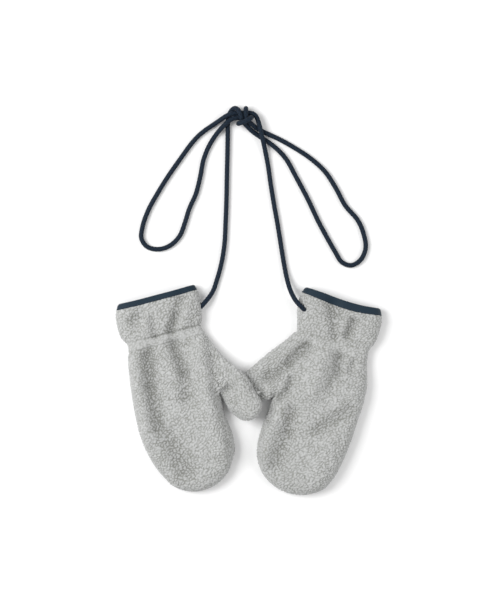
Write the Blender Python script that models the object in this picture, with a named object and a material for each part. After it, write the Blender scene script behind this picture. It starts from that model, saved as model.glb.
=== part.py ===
"""A pair of child's fleece mittens lying flat, joined by a round cord tied in a bow.

Each mitten has a top and an under panel, hand and thumb in one piece, and a binding
folded over the cuff edge. Sizes are in millimetres in a mitten's own frame: "along" runs
from the cuff edge to the fingertips, "across" runs towards the thumb, and heights are
above the table. Left and right are as seen from above with the cuffs away from the viewer.
"""

from collections import namedtuple

import bmesh
import bpy
import numpy as np

MM = 0.001

# Places read from the photo are in its own pixels
PHOTO_MM_PER_PIXEL = 0.875
PHOTO_ORIGIN_PX = (248.75, 390.2)

# Driving sizes of the cloth
FLEECE = 3.0
PRESSED_FLEECE = 1.6
SEAM_GAP = 0.3
TAPE = 0.8
BINDING_WIDTH = 5.1
SEAM_HEIGHT = 6.0
HAND_ROUNDING = 16.0
THUMB_ROUNDING = 11.0
UNDER_ROUNDING = 5.0
THUMB_BLEND = 14.0

# Folds fade out this near a seam, and the cuff edge bends in waves of this length
FOLD_FADE = 6.0
CUFF_WAVE_LENGTH = 70.0

# The left thumb lies on the right one
LEFT_THUMB_LIFT = 11.6
LIFT_RUN = 21.0
LIFT_PAST_THUMB_TIP = 5.0

# The right cuff is rolled, so its thumb side seam shows on top as far as the wrist
ROLLED_SEAM_DEG = 46.0
ROLLED_SEAM_END = 35.0
ROLLED_SEAM_RUN = 14.0

CORD_DIAMETER = 4.0
CORD_LEVEL = 4.25
CORD_STEP = 27.0
CORD_TURN_DEG = 58.0

# The tape leaves a fold this far past the raw edge of the fleece
TAPE_FOLD = SEAM_GAP + TAPE
TAPE_CLEARANCE = 0.05
PRESSED_FROM = TAPE_FOLD + TAPE_CLEARANCE
BINDING_END = BINDING_WIDTH - TAPE_FOLD
TAPE_EDGE = BINDING_END - 0.6
TAPE_CORNER = 0.5

HandSection = namedtuple("HandSection", "along outer thumb_side crown")
ThumbSection = namedtuple("ThumbSection", "near_along near_across far_along far_across")
Fold = namedtuple("Fold", "along across to_along to_across width height")
CordPoint = namedtuple("CordPoint", "x_px y_px height")
Mitten = namedtuple(
    "Mitten",
    "name side tilt_deg cuff_px hand tip wrist crotch thumb thumb_tip thumb_thickness folds wave",
)

LEFT_HAND = [
    HandSection(0.0, -35.4, 34.4, 15.0),
    HandSection(4.0, -37.6, 35.4, 15.3),
    HandSection(9.0, -39.5, 35.8, 15.6),
    HandSection(16.0, -40.2, 35.6, 15.4),
    HandSection(27.0, -39.5, 33.4, 14.4),
    HandSection(36.0, -35.6, 30.8, 13.2),
    HandSection(44.5, -37.8, 31.3, 13.6),
    HandSection(65.0, -41.3, 32.0, 16.6),
    HandSection(81.0, -43.2, 32.4, 17.6),
    HandSection(97.0, -44.4, 32.6, 18.2),
    HandSection(114.0, -44.8, 31.4, 18.5),
    HandSection(132.0, -42.2, 33.5, 18.5),
    HandSection(148.0, -37.0, 31.8, 18.0),
    HandSection(161.5, -30.0, 24.0, 17.4),
]
RIGHT_HAND = [
    HandSection(0.0, -34.4, 34.4, 15.0),
    HandSection(4.0, -36.4, 36.0, 15.3),
    HandSection(9.0, -38.2, 36.7, 15.6),
    HandSection(17.0, -38.7, 36.2, 15.4),
    HandSection(28.0, -37.8, 33.2, 14.4),
    HandSection(36.0, -34.6, 31.0, 13.2),
    HandSection(44.0, -35.4, 31.6, 13.6),
    HandSection(66.5, -41.4, 33.0, 16.6),
    HandSection(82.0, -42.6, 34.2, 17.6),
    HandSection(98.0, -42.0, 35.0, 18.2),
    HandSection(118.0, -41.2, 36.5, 18.5),
    HandSection(135.5, -39.1, 37.0, 18.5),
    HandSection(152.0, -35.5, 34.0, 18.0),
    HandSection(162.3, -30.8, 27.8, 17.4),
]
LEFT_THUMB = [
    ThumbSection(97.0, 32.6, 36.0, 30.8),
    ThumbSection(101.9, 33.6, 51.0, 36.2),
    ThumbSection(106.4, 34.6, 67.0, 44.2),
    ThumbSection(112.4, 36.4, 84.7, 57.0),
    ThumbSection(120.1, 41.9, 104.6, 63.7),
]
RIGHT_THUMB = [
    ThumbSection(98.0, 35.0, 36.0, 31.0),
    ThumbSection(100.8, 36.8, 49.5, 39.8),
    ThumbSection(103.2, 41.6, 61.5, 49.0),
    ThumbSection(105.6, 48.8, 75.5, 58.3),
    ThumbSection(106.9, 57.5, 87.0, 66.0),
]
LEFT_FOLDS = [
    Fold(4.0, -20.8, 19.0, -23.5, 4.0, -1.3),
    Fold(5.0, 11.8, 33.0, 0.0, 4.2, -1.4),
    Fold(44.0, -23.3, 76.0, -25.4, 4.6, -1.8),
    Fold(76.0, -25.4, 119.0, -34.0, 4.2, -0.9),
    Fold(61.0, -37.0, 119.0, -40.0, 3.6, 1.2),
    Fold(49.0, 4.3, 80.0, -0.8, 4.6, -1.5),
    Fold(58.0, 18.4, 96.0, 8.6, 5.0, 1.1),
    Fold(54.0, 30.2, 80.0, 26.5, 4.6, -1.9),
    Fold(97.0, 30.0, 89.0, 42.0, 4.0, -1.8),
    Fold(30.0, -12.0, 37.0, -12.0, 3.2, -0.7),
    Fold(39.0, 14.0, 52.0, 16.0, 3.4, -0.9),
    Fold(40.0, -8.0, 56.0, -10.0, 3.6, -0.9),
]
RIGHT_FOLDS = [
    Fold(4.0, 14.6, 16.0, 11.7, 4.0, -1.2),
    Fold(18.0, 3.4, 34.0, -0.2, 3.8, -1.2),
    Fold(14.0, -8.7, 31.0, -12.2, 4.2, -1.4),
    Fold(42.0, -4.9, 72.0, -14.4, 4.8, -1.8),
    Fold(46.0, 25.6, 72.0, 34.5, 4.8, -2.0),
    Fold(72.0, 34.5, 90.0, 35.9, 4.4, -1.3),
    Fold(80.0, 48.0, 64.0, 33.0, 4.0, -1.2),
    Fold(98.0, 36.5, 87.0, 24.0, 4.4, -1.8),
    Fold(109.0, 25.0, 138.0, 20.0, 4.6, -1.2),
    Fold(123.0, 31.5, 158.0, 24.0, 4.6, 1.0),
    Fold(40.0, -20.0, 56.0, -24.0, 3.8, -1.1),
    Fold(39.0, 12.0, 54.0, 12.0, 3.6, -1.0),
]

LEFT = Mitten(
    name="left",
    side=1,
    tilt_deg=14.5,
    cuff_px=(157.1, 296.45),
    hand=LEFT_HAND,
    tip=(174.2, -4.0),
    wrist=36.0,
    crotch=97.0,
    thumb=LEFT_THUMB,
    thumb_tip=(122.2, 59.5),
    thumb_thickness=12.4,
    folds=LEFT_FOLDS,
    wave=0.3,
)
RIGHT = Mitten(
    name="right",
    side=-1,
    tilt_deg=16.0,
    cuff_px=(342.3, 300.2),
    hand=RIGHT_HAND,
    tip=(175.1, -1.0),
    wrist=36.0,
    crotch=98.0,
    thumb=RIGHT_THUMB,
    thumb_tip=(99.6, 67.4),
    thumb_thickness=11.2,
    folds=RIGHT_FOLDS,
    wave=0.9,
)

# Section places from the cuff edge to where the fingertip's own rounding starts
SHARED_ROWS = [0.0, BINDING_END - 0.3, BINDING_END + 0.5, 8.0, 13.0, 18.5, 24.0, 29.0, 32.7]
THUMB_ROWS = 13
PALM_ROWS = [103.0, 110.0, 118.0, 126.0, 134.0, 141.0]
ROUNDING_STEPS = 4
TOP_INNER_COLUMNS = 13
UNDER_INNER_COLUMNS = 7
THUMB_LENGTH_STEPS = 6
LEAST_ROW_GAP = 2.0

# Rows bend into the fingertips' arc from here on, which spreads the last ones by this much
BULGE_FROM = 105.0
TIP_ROW_SPREAD = 1.3

# The thumb's length past its root, and how much longer its tip's arc is than its chord
THUMB_LENGTH = 42.0
THUMB_TIP_ARC = 1.15

# The outline goes on past the cuff edge, and a point this near it lies on it
OUTLINE_OVERRUN = 12.0
ON_OUTLINE = 0.05

# The cord from the left cuff through the bow to the right cuff, heights in millimetres
L0, L1, L2, L3 = (CORD_DIAMETER / 2 + 0.15 + CORD_LEVEL * level for level in range(4))
LEFT_FEED = [
    CordPoint(203.6, 303.9, 7.0),
    CordPoint(207.6, 299.2, 5.4),
    CordPoint(212.7, 291.5, 3.0),
    CordPoint(217.0, 279.3, L0),
    CordPoint(221.2, 263.9, L0),
    CordPoint(224.4, 244.0, L0),
    CordPoint(225.6, 222.0, L0),
    CordPoint(226.4, 200.0, L0),
    CordPoint(226.9, 174.2, L0),
    CordPoint(227.5, 148.0, L0),
    CordPoint(227.8, 128.0, L0),
]
KNOT_TO_RIGHT_LOOP = [
    CordPoint(227.9, 121.5, L0),
    CordPoint(228.4, 117.2, L0),
    CordPoint(229.2, 113.8, L0),
    CordPoint(230.6, 111.1, 2.9),
    CordPoint(232.6, 109.0, 4.6),
    CordPoint(235.0, 108.1, 7.0),
    CordPoint(237.5, 109.4, 9.5),
    CordPoint(239.5, 112.2, L2),
    CordPoint(240.7, 115.4, L2),
    CordPoint(241.4, 118.2, 10.7),
    CordPoint(242.7, 121.7, 9.0),
    CordPoint(245.2, 124.4, 7.4),
    CordPoint(248.2, 127.5, 5.6),
    CordPoint(251.7, 130.6, 3.8),
    CordPoint(255.8, 133.6, L0),
    CordPoint(260.8, 136.9, L0),
]
RIGHT_LOOP = [
    CordPoint(271.0, 143.7, L0),
    CordPoint(284.3, 156.3, L0),
    CordPoint(296.3, 177.0, L0),
    CordPoint(309.0, 201.1, L0),
    CordPoint(318.2, 220.7, L0),
    CordPoint(327.4, 237.9, L0),
    CordPoint(336.0, 252.9, L0),
    CordPoint(341.8, 262.0, L0),
    CordPoint(350.9, 265.5, L0),
    CordPoint(360.0, 260.8, L0),
    CordPoint(365.9, 248.3, L0),
    CordPoint(364.1, 234.5, L0),
    CordPoint(358.4, 220.7, L0),
    CordPoint(345.7, 205.7, L0),
    CordPoint(336.0, 187.9, L0),
    CordPoint(325.1, 171.3, L0),
    CordPoint(311.3, 158.6, L0),
    CordPoint(294.0, 147.1, L0),
    CordPoint(277.9, 138.2, L0),
    CordPoint(269.0, 134.1, L0),
]
KNOT_TO_LEFT_LOOP = [
    CordPoint(262.5, 131.0, L0),
    CordPoint(256.9, 127.9, 3.2),
    CordPoint(252.4, 124.8, 6.2),
    CordPoint(248.8, 121.8, 8.8),
    CordPoint(246.6, 118.8, 10.4),
    CordPoint(245.9, 115.8, L2),
    CordPoint(245.8, 112.4, L2),
    CordPoint(245.9, 109.7, 9.8),
    CordPoint(246.0, 108.1, L1),
    CordPoint(245.9, 109.7, 2.9),
    CordPoint(245.7, 113.0, L0),
    CordPoint(244.0, 116.8, L0),
    CordPoint(241.8, 120.4, L0),
    CordPoint(239.9, 122.8, 3.4),
    CordPoint(238.6, 123.8, 6.6),
    CordPoint(238.6, 123.9, 10.2),
    CordPoint(240.2, 123.7, 12.8),
    CordPoint(243.3, 123.0, 13.2),
    CordPoint(246.1, 121.8, 13.8),
    CordPoint(248.6, 120.2, 13.9),
    CordPoint(250.7, 118.9, 13.1),
    CordPoint(251.5, 118.1, 10.4),
    CordPoint(251.2, 117.7, 7.7),
    CordPoint(248.9, 117.6, L1),
    CordPoint(243.8, 117.6, L1),
    CordPoint(238.6, 117.6, L1),
    CordPoint(233.6, 118.2, L1),
    CordPoint(230.0, 120.1, L1),
    CordPoint(225.8, 124.0, 6.9),
    CordPoint(221.6, 127.9, 5.0),
    CordPoint(217.0, 133.0, 2.6),
]
LEFT_LOOP = [
    CordPoint(209.5, 144.5, L0),
    CordPoint(203.4, 159.5, L0),
    CordPoint(200.2, 176.0, L0),
    CordPoint(195.8, 193.5, L0),
    CordPoint(188.9, 209.2, L0),
    CordPoint(184.7, 222.8, L0),
    CordPoint(179.1, 236.5, L0),
    CordPoint(169.8, 245.5, L0),
    CordPoint(158.1, 249.2, L0),
    CordPoint(146.2, 246.2, L0),
    CordPoint(141.0, 238.0, L0),
    CordPoint(141.9, 228.3, L0),
    CordPoint(147.2, 212.0, L0),
    CordPoint(158.6, 191.0, L0),
    CordPoint(178.6, 160.8, L0),
    CordPoint(200.1, 133.9, L0),
]
KNOT_TO_RIGHT_FEED = [
    CordPoint(215.3, 123.0, 2.6),
    CordPoint(221.7, 118.9, 5.2),
    CordPoint(227.0, 115.6, L1),
    CordPoint(232.6, 113.5, L1),
    CordPoint(238.0, 112.9, L1),
    CordPoint(244.0, 112.9, L1),
    CordPoint(249.6, 112.9, L1),
    CordPoint(253.2, 113.6, L1),
    CordPoint(255.9, 115.9, L1),
    CordPoint(257.6, 119.4, L1),
    CordPoint(258.9, 123.6, L1),
    CordPoint(260.2, 128.2, 6.7),
    CordPoint(261.5, 134.0, 6.8),
    CordPoint(263.0, 140.5, 6.5),
    CordPoint(264.8, 148.5, 3.9),
]
RIGHT_FEED = [
    CordPoint(268.0, 165.0, L0),
    CordPoint(270.9, 185.0, L0),
    CordPoint(274.2, 205.1, L0),
    CordPoint(277.9, 225.7, L0),
    CordPoint(281.2, 246.3, L0),
    CordPoint(284.4, 265.6, L0),
    CordPoint(287.3, 280.0, 4.4),
    CordPoint(291.2, 292.5, 9.2),
    CordPoint(296.8, 302.2, 13.9),
    CordPoint(302.2, 307.8, 14.9),
]
CORD_STRETCHES = [
    LEFT_FEED,
    KNOT_TO_RIGHT_LOOP,
    RIGHT_LOOP,
    KNOT_TO_LEFT_LOOP,
    LEFT_LOOP,
    KNOT_TO_RIGHT_FEED,
    RIGHT_FEED,
]

# Base colour and roughness of each finish
FLEECE_GREY = ("boa_fleece", (0.440, 0.450, 0.430), 0.95)
TAPE_NAVY = ("binding_tape", (0.030, 0.049, 0.071), 0.80)
CORD_NAVY = ("braided_cord", (0.018, 0.027, 0.048), 0.75)


def smooth_values(at, places, values):
    """Return a smooth curve's values at the given places, through every row of a table."""
    places = np.asarray(places, float)
    values = np.asarray(values, float)
    at = np.clip(np.asarray(at, float), places[0], places[-1])
    slopes = np.gradient(values, places)
    index = np.clip(np.searchsorted(places, at, side="right") - 1, 0, len(places) - 2)
    span = places[index + 1] - places[index]
    t = (at - places[index]) / span
    start = (1 + 2 * t) * (1 - t) ** 2 * values[index] + t * (1 - t) ** 2 * span * slopes[index]
    end = t**2 * (3 - 2 * t) * values[index + 1] + t**2 * (t - 1) * span * slopes[index + 1]
    return start + end


def smoothstep(value):
    """Ease from 0 to 1 as the value goes from 0 to 1."""
    t = np.clip(value, 0.0, 1.0)
    return t * t * (3 - 2 * t)


def arc_through(start, middle, end, fractions):
    """Return points at fractions of the circular arc through three points."""
    start, middle, end = (np.asarray(point, float) for point in (start, middle, end))
    rows = 2 * np.array([middle - start, end - start])
    squares = np.array([middle @ middle - start @ start, end @ end - start @ start])
    centre = np.linalg.solve(rows, squares)
    angles = [np.arctan2(*(point - centre)[::-1]) for point in (start, middle, end)]
    turn = (angles[1] - angles[0] + np.pi) % (2 * np.pi) - np.pi
    turn += (angles[2] - angles[1] + np.pi) % (2 * np.pi) - np.pi
    angle = angles[0] + turn * np.asarray(fractions, float)
    radius = np.linalg.norm(start - centre)
    return centre + radius * np.column_stack([np.cos(angle), np.sin(angle)])


def hand_edge(mitten, column, along):
    """Return where a side of the hand lies, from the mitten's table of sections."""
    places = [section.along for section in mitten.hand]
    return smooth_values(along, places, [getattr(section, column) for section in mitten.hand])


def hand_tip(mitten, fractions):
    """Return points round the fingertips, from the outer side to the thumb side."""
    last = mitten.hand[-1]
    start = (last.along, last.outer)
    return arc_through(start, mitten.tip, (last.along, last.thumb_side), fractions)


def thumb_edge(mitten, edge, fraction):
    """Return points along one side of the thumb, from its root at 0 to its tip at 1."""
    places = np.linspace(0.0, 1.0, len(mitten.thumb))
    along = [getattr(section, edge + "_along") for section in mitten.thumb]
    across = [getattr(section, edge + "_across") for section in mitten.thumb]
    smooth = [smooth_values(fraction, places, values) for values in (along, across)]
    return np.column_stack(smooth)


def thumb_tip(mitten, fractions):
    """Return points round the thumb tip, from the side near the fingers to the far side."""
    near, far = thumb_edge(mitten, "near", [1.0]), thumb_edge(mitten, "far", [1.0])
    return arc_through(near[0], mitten.thumb_tip, far[0], fractions)


def outline(mitten):
    """Return the seam line round the mitten, open at the cuff, as points 1 to 2 mm apart."""
    fine = np.linspace(0.0, 1.0, 40)
    last = mitten.hand[-1].along
    down = np.linspace(0.0, last, 120)
    back = np.linspace(last, mitten.crotch, 50)
    wrist = np.linspace(mitten.wrist, 0.0, 30)
    overrun = np.array([-OUTLINE_OVERRUN])
    pieces = [
        np.column_stack([overrun, hand_edge(mitten, "outer", [0.0])]),
        np.column_stack([down, hand_edge(mitten, "outer", down)]),
        hand_tip(mitten, fine)[1:],
        np.column_stack([back, hand_edge(mitten, "thumb_side", back)])[1:],
        thumb_edge(mitten, "near", fine)[1:],
        thumb_tip(mitten, fine)[1:],
        thumb_edge(mitten, "far", fine[::-1])[1:],
        np.column_stack([wrist, hand_edge(mitten, "thumb_side", wrist)])[1:],
        np.column_stack([overrun, hand_edge(mitten, "thumb_side", [0.0])]),
    ]
    return np.vstack(pieces)


def nearest_on_outline(line, points):
    """Return each point's distance inside the outline and the direction inwards from it."""
    start, step = line[:-1], np.diff(line, axis=0)
    length = np.linalg.norm(step, axis=1)
    side = np.column_stack([-step[:, 1], step[:, 0]]) / length[:, None]
    corner = np.vstack([side[:1], side[:-1] + side[1:], side[-1:]])
    corner /= np.linalg.norm(corner, axis=1)[:, None]
    offset = points[:, None, :] - start[None]
    t = np.clip((offset * step).sum(2) / length**2, 0.0, 1.0)
    gap = offset - t[..., None] * step
    nearest = np.argmin((gap**2).sum(2), axis=1)
    row = np.arange(len(points))
    gap, t = gap[row, nearest], t[row, nearest]
    distance = np.linalg.norm(gap, axis=1)
    edge_normal = corner[nearest] * (1 - t[:, None]) + corner[nearest + 1] * t[:, None]
    edge_normal /= np.linalg.norm(edge_normal, axis=1)[:, None]
    on_edge = distance < ON_OUTLINE
    straight = gap / np.maximum(distance, ON_OUTLINE)[:, None]
    inward = np.where(on_edge[:, None], edge_normal, straight)
    return distance, inward


def past_hand(mitten, points):
    """Return how far each point lies past the hand's thumb side, towards the thumb."""
    inside = np.clip(points[:, 0], mitten.wrist, mitten.crotch)
    return points[:, 1] - hand_edge(mitten, "thumb_side", inside)


def lift(mitten, points):
    """Return how far the cloth is raised, where the left thumb climbs onto the right one."""
    raised = LEFT_THUMB_LIFT if mitten.name == "left" else 0.0
    end = mitten.thumb_tip[0] + LIFT_PAST_THUMB_TIP
    on_thumb = (points[:, 0] > mitten.wrist) & (points[:, 0] < end)
    return np.where(on_thumb, raised * smoothstep(past_hand(mitten, points) / LIFT_RUN), 0.0)


def top_rounding(mitten, points):
    """Return the width of the top's rounded edge, narrower on the thumb."""
    thumb = smoothstep(past_hand(mitten, points) / THUMB_BLEND)
    return HAND_ROUNDING + (THUMB_ROUNDING - HAND_ROUNDING) * thumb


def fold_height(mitten, points, distance):
    """Return the height that the table's folds add to the top, fading out at the seams."""
    total = np.zeros(len(points))
    for fold in mitten.folds:
        start = np.array([fold.along, fold.across])
        run = np.array([fold.to_along, fold.to_across]) - start
        t = np.clip((points - start) @ run / (run @ run), 0.0, 1.0)
        away = np.linalg.norm(points - start - t[:, None] * run, axis=1)
        total += fold.height * np.exp(-((away / fold.width) ** 2))
    return total * smoothstep(distance / FOLD_FADE)


def cloth_surface(mitten, points, over):
    """Return outer points, and directions out of the cloth, at places seen from above.

    A place marked over lies on the top of the mitten, any other on its underside.
    """
    distance, inward = nearest_on_outline(outline(mitten), points)
    base = lift(mitten, points)
    thumb = smoothstep(past_hand(mitten, points) / THUMB_BLEND)
    crown = hand_edge(mitten, "crown", points[:, 0])
    crown = crown + (mitten.thumb_thickness - crown) * thumb
    width = np.where(over, top_rounding(mitten, points), UNDER_ROUNDING)
    cosine = 1 - np.clip(distance / width, 0.0, 1.0)
    sine = np.sqrt(1 - cosine**2)
    top = SEAM_HEIGHT + (crown - SEAM_HEIGHT) * sine + fold_height(mitten, points, distance)
    height = base + np.where(over, top, SEAM_HEIGHT * (1 - sine))
    outward = np.column_stack([-inward * cosine[:, None], np.where(over, sine, -sine)])
    return np.column_stack([points, height]), outward


def seam_angle(mitten, along):
    """Return how far up the rounded edge the thumb side seam lies, in radians."""
    if mitten.name == "left":
        return 0.0
    rolled = 1 - smoothstep((along - ROLLED_SEAM_END) / ROLLED_SEAM_RUN + 1)
    return np.radians(ROLLED_SEAM_DEG) * rolled


def edge_spacing(angle, over, rounding):
    """Return distances in from the silhouette for steps round a panel's edge, and their face."""
    if over:
        steps = np.linspace(angle, np.pi / 2, ROUNDING_STEPS + 1)
    else:
        steps = np.linspace(angle, -np.pi / 2, ROUNDING_STEPS + 1)
    width = np.where(steps > 1e-6, rounding, UNDER_ROUNDING)
    return width * (1 - np.cos(steps)), (steps > 1e-6) | over


def hand_rows(mitten, rounding):
    """Return the places along the hand where its rows of points lie."""
    last = mitten.hand[-1].along
    shared = np.linspace(mitten.wrist, mitten.crotch, THUMB_ROWS)
    turn = np.linspace(0, np.pi / 2, ROUNDING_STEPS + 1)
    end = last - rounding / TIP_ROW_SPREAD * (1 - np.sin(turn))
    palm = [place for place in PALM_ROWS if place < end[0] - LEAST_ROW_GAP]
    return np.concatenate([SHARED_ROWS, shared, palm, end])


def hand_grid(mitten, over):
    """Return the hand's rows of points seen from above, and which lie on the top."""
    inner = TOP_INNER_COLUMNS if over else UNDER_INNER_COLUMNS
    rounding = HAND_ROUNDING if over else UNDER_ROUNDING
    last = mitten.hand[-1].along
    points, faces = [], []
    for along in hand_rows(mitten, rounding):
        outer = hand_edge(mitten, "outer", along)
        width = hand_edge(mitten, "thumb_side", along) - outer
        first, first_over = edge_spacing(0.0, over, rounding)
        final, final_over = edge_spacing(seam_angle(mitten, along), over, HAND_ROUNDING)
        middle = np.linspace(first[-1], width - final[-1], inner + 2)[1:-1]
        place = np.concatenate([first, middle, (width - final)[::-1]]) / width
        arc = hand_tip(mitten, place)
        bulge = smoothstep((along - BULGE_FROM) / (last - BULGE_FROM) / 2) * 2
        straight = np.column_stack([np.full(len(place), along), outer + width * place])
        chord = np.column_stack([np.full(len(place), last), arc[0, 1] + np.ptp(arc[:, 1]) * place])
        points.append(straight + (arc - chord) * bulge)
        faces.append(np.concatenate([first_over, np.full(inner, over), final_over[::-1]]))
    return np.array(points), np.array(faces)


def thumb_grid(mitten, over, root):
    """Return the thumb's rows of points from its root row on the hand to its tip."""
    rounding = THUMB_ROUNDING if over else UNDER_ROUNDING
    count = len(root)
    spacing = rounding * (1 - np.cos(np.linspace(0, np.pi / 2, ROUNDING_STEPS + 1)))
    near = thumb_edge(mitten, "near", [1.0])[0]
    width = np.linalg.norm(thumb_edge(mitten, "far", [1.0])[0] - near) * THUMB_TIP_ARC
    middle = np.linspace(spacing[-1], width - spacing[-1], count - 2 * ROUNDING_STEPS)[1:-1]
    at_tip = np.concatenate([spacing, middle, (width - spacing)[::-1]]) / width
    at_root = np.linspace(0.0, 1.0, count)
    tip = thumb_tip(mitten, at_tip)
    lengths = 1 - spacing[::-1] / THUMB_LENGTH
    rows = np.concatenate([np.linspace(0, lengths[0], THUMB_LENGTH_STEPS + 1)[1:-1], lengths])
    points = [root]
    for row in rows:
        place = (at_root + (at_tip - at_root) * row)[:, None]
        first = thumb_edge(mitten, "near", [row])
        final = thumb_edge(mitten, "far", [row])
        straight = first + (final - first) * place
        root_bend = root - (root[0] + (root[-1] - root[0]) * at_root[:, None])
        tip_bend = tip - (tip[0] + (tip[-1] - tip[0]) * at_tip[:, None])
        points.append(straight + root_bend * (1 - row) + tip_bend * row**2)
    return np.array(points)


def panel_sheet(mitten, over):
    """Return a panel's points seen from above, their faces, its quads and its hand's rows."""
    grid, faces = hand_grid(mitten, over)
    rows, columns = grid.shape[:2]
    number = np.arange(rows * columns).reshape(rows, columns)
    first = len(SHARED_ROWS)
    root_numbers = number[first : first + THUMB_ROWS, -1][::-1]
    root = grid[first : first + THUMB_ROWS, -1][::-1]
    thumb = thumb_grid(mitten, over, root)
    new = rows * columns + np.arange((len(thumb) - 1) * THUMB_ROWS).reshape(-1, THUMB_ROWS)
    thumb_numbers = np.vstack([root_numbers, new])
    points = np.vstack([grid.reshape(-1, 2), thumb[1:].reshape(-1, 2)])
    over_flags = np.concatenate([faces.ravel(), np.full(new.size, over)])
    quads = []
    for block in (number, thumb_numbers):
        corners = [block[:-1, :-1], block[1:, :-1], block[1:, 1:], block[:-1, 1:]]
        quads.append(np.stack(corners, axis=-1).reshape(-1, 4))
    return points, over_flags, np.vstack(quads), number


def rim_edges(quads):
    """Return the directed edges that only one quad uses."""
    directed = np.vstack([np.column_stack([quads[:, i], quads[:, (i + 1) % 4]]) for i in range(4)])
    used = set(map(tuple, directed))
    return [(a, b) for a, b in used if (b, a) not in used]


def cuff_wave(mitten, points):
    """Return how far the cuff edge bends along the mitten, fading out at the wrist."""
    fade = 1 - smoothstep(points[:, 0] / mitten.wrist)
    return mitten.wave * np.sin(-2 * np.pi * points[:, 1] / CUFF_WAVE_LENGTH) * fade


def panel_wall(mitten, over):
    """Return the outer and inner points of a panel's wall and its quads."""
    points, over_flags, quads, rows = panel_sheet(mitten, over)
    nominal, outward = cloth_surface(mitten, points, over_flags)
    mouth = rows[0]
    edges = rim_edges(quads)
    seam = sorted({corner for edge in edges if not np.isin(edge, mouth).all() for corner in edge})
    tangent = np.zeros_like(nominal)
    flat = np.linalg.norm(outward[:, :2], axis=1)
    tangent[:, 2] = flat
    tangent[:, :2] = -outward[:, :2] / np.maximum(flat, 1e-6)[:, None] * outward[:, 2:3]
    nominal[seam] += tangent[seam] * (SEAM_GAP / 2 if over else -SEAM_GAP / 2)
    outward[mouth, 0] = 0.0
    outward[mouth] /= np.linalg.norm(outward[mouth], axis=1)[:, None]
    pressed = points[:, 0] < BINDING_END
    outer_depth = np.where(pressed, PRESSED_FROM, 0.0)[:, None]
    inner_depth = np.where(pressed, PRESSED_FROM + PRESSED_FLEECE, FLEECE)[:, None]
    outer = nominal - outer_depth * outward
    inner = nominal - inner_depth * outward
    bend = cuff_wave(mitten, points)
    outer[:, 0] += bend
    inner[:, 0] += bend
    return outer, inner, quads, edges


def to_row(mitten, points):
    """Return a mitten's points in metres in the pair's shared frame."""
    tilt = np.radians(mitten.tilt_deg)
    along = np.array([mitten.side * np.sin(tilt), -np.cos(tilt)])
    across = np.array([mitten.side * np.cos(tilt), np.sin(tilt)])
    cuff = photo_place(*mitten.cuff_px)
    place = cuff + points[:, :1] * along + points[:, 1:2] * across
    return np.column_stack([place, points[:, 2]]) * MM


def photo_place(x_px, y_px):
    """Return where a pixel of the photo lies on the table, in millimetres."""
    x = (x_px - PHOTO_ORIGIN_PX[0]) * PHOTO_MM_PER_PIXEL
    y = (PHOTO_ORIGIN_PX[1] - y_px) * PHOTO_MM_PER_PIXEL
    return np.array([x, y])


def finish_material(finish):
    """Return the material of a finish, made once."""
    name, colour, roughness = finish
    material = bpy.data.materials.get(name)
    if material is None:
        material = bpy.data.materials.new(name)
        material.use_nodes = True
        shader = material.node_tree.nodes["Principled BSDF"]
        shader.inputs["Base Color"].default_value = (*colour, 1.0)
        shader.inputs["Roughness"].default_value = roughness
        shader.inputs["Metallic"].default_value = 0.0
    return material


def add_solid(name, points, faces, finish, collection):
    """Add a closed mesh object for one piece, its faces turned outwards."""
    mesh = bpy.data.meshes.new(name)
    mesh.from_pydata(points.tolist(), [], [list(map(int, face)) for face in faces])
    shell = bmesh.new()
    shell.from_mesh(mesh)
    bmesh.ops.recalc_face_normals(shell, faces=shell.faces)
    shell.to_mesh(mesh)
    shell.free()
    mesh.materials.append(finish_material(finish))
    solid = bpy.data.objects.new(name, mesh)
    collection.objects.link(solid)
    return solid


def add_panel(mitten, over, collection):
    """Add the top or under panel of a mitten as a wall of fleece."""
    outer, inner, quads, edges = panel_wall(mitten, over)
    count = len(outer)
    shell = [*quads, *(quads + count)]
    shell += [(a, b, count + b, count + a) for a, b in edges]
    name = f"{mitten.name}_{'front' if over else 'rear'}_panel"
    points = to_row(mitten, np.vstack([outer, inner]))
    return add_solid(name, points, shell, FLEECE_GREY, collection)


def cuff_loop(mitten, row):
    """Return the outer points and directions round the cuff along one row of both panels."""
    top, top_over, _, top_rows = panel_sheet(mitten, True)
    under, under_over, _, under_rows = panel_sheet(mitten, False)
    over_row, under_row = top_rows[row], under_rows[row][-2:0:-1]
    places = np.vstack([top[over_row], under[under_row]])
    flags = np.concatenate([top_over[over_row], under_over[under_row]])
    nominal, outward = cloth_surface(mitten, places, flags)
    outward[:, 0] = 0.0
    outward /= np.linalg.norm(outward, axis=1)[:, None]
    return nominal, outward


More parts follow.
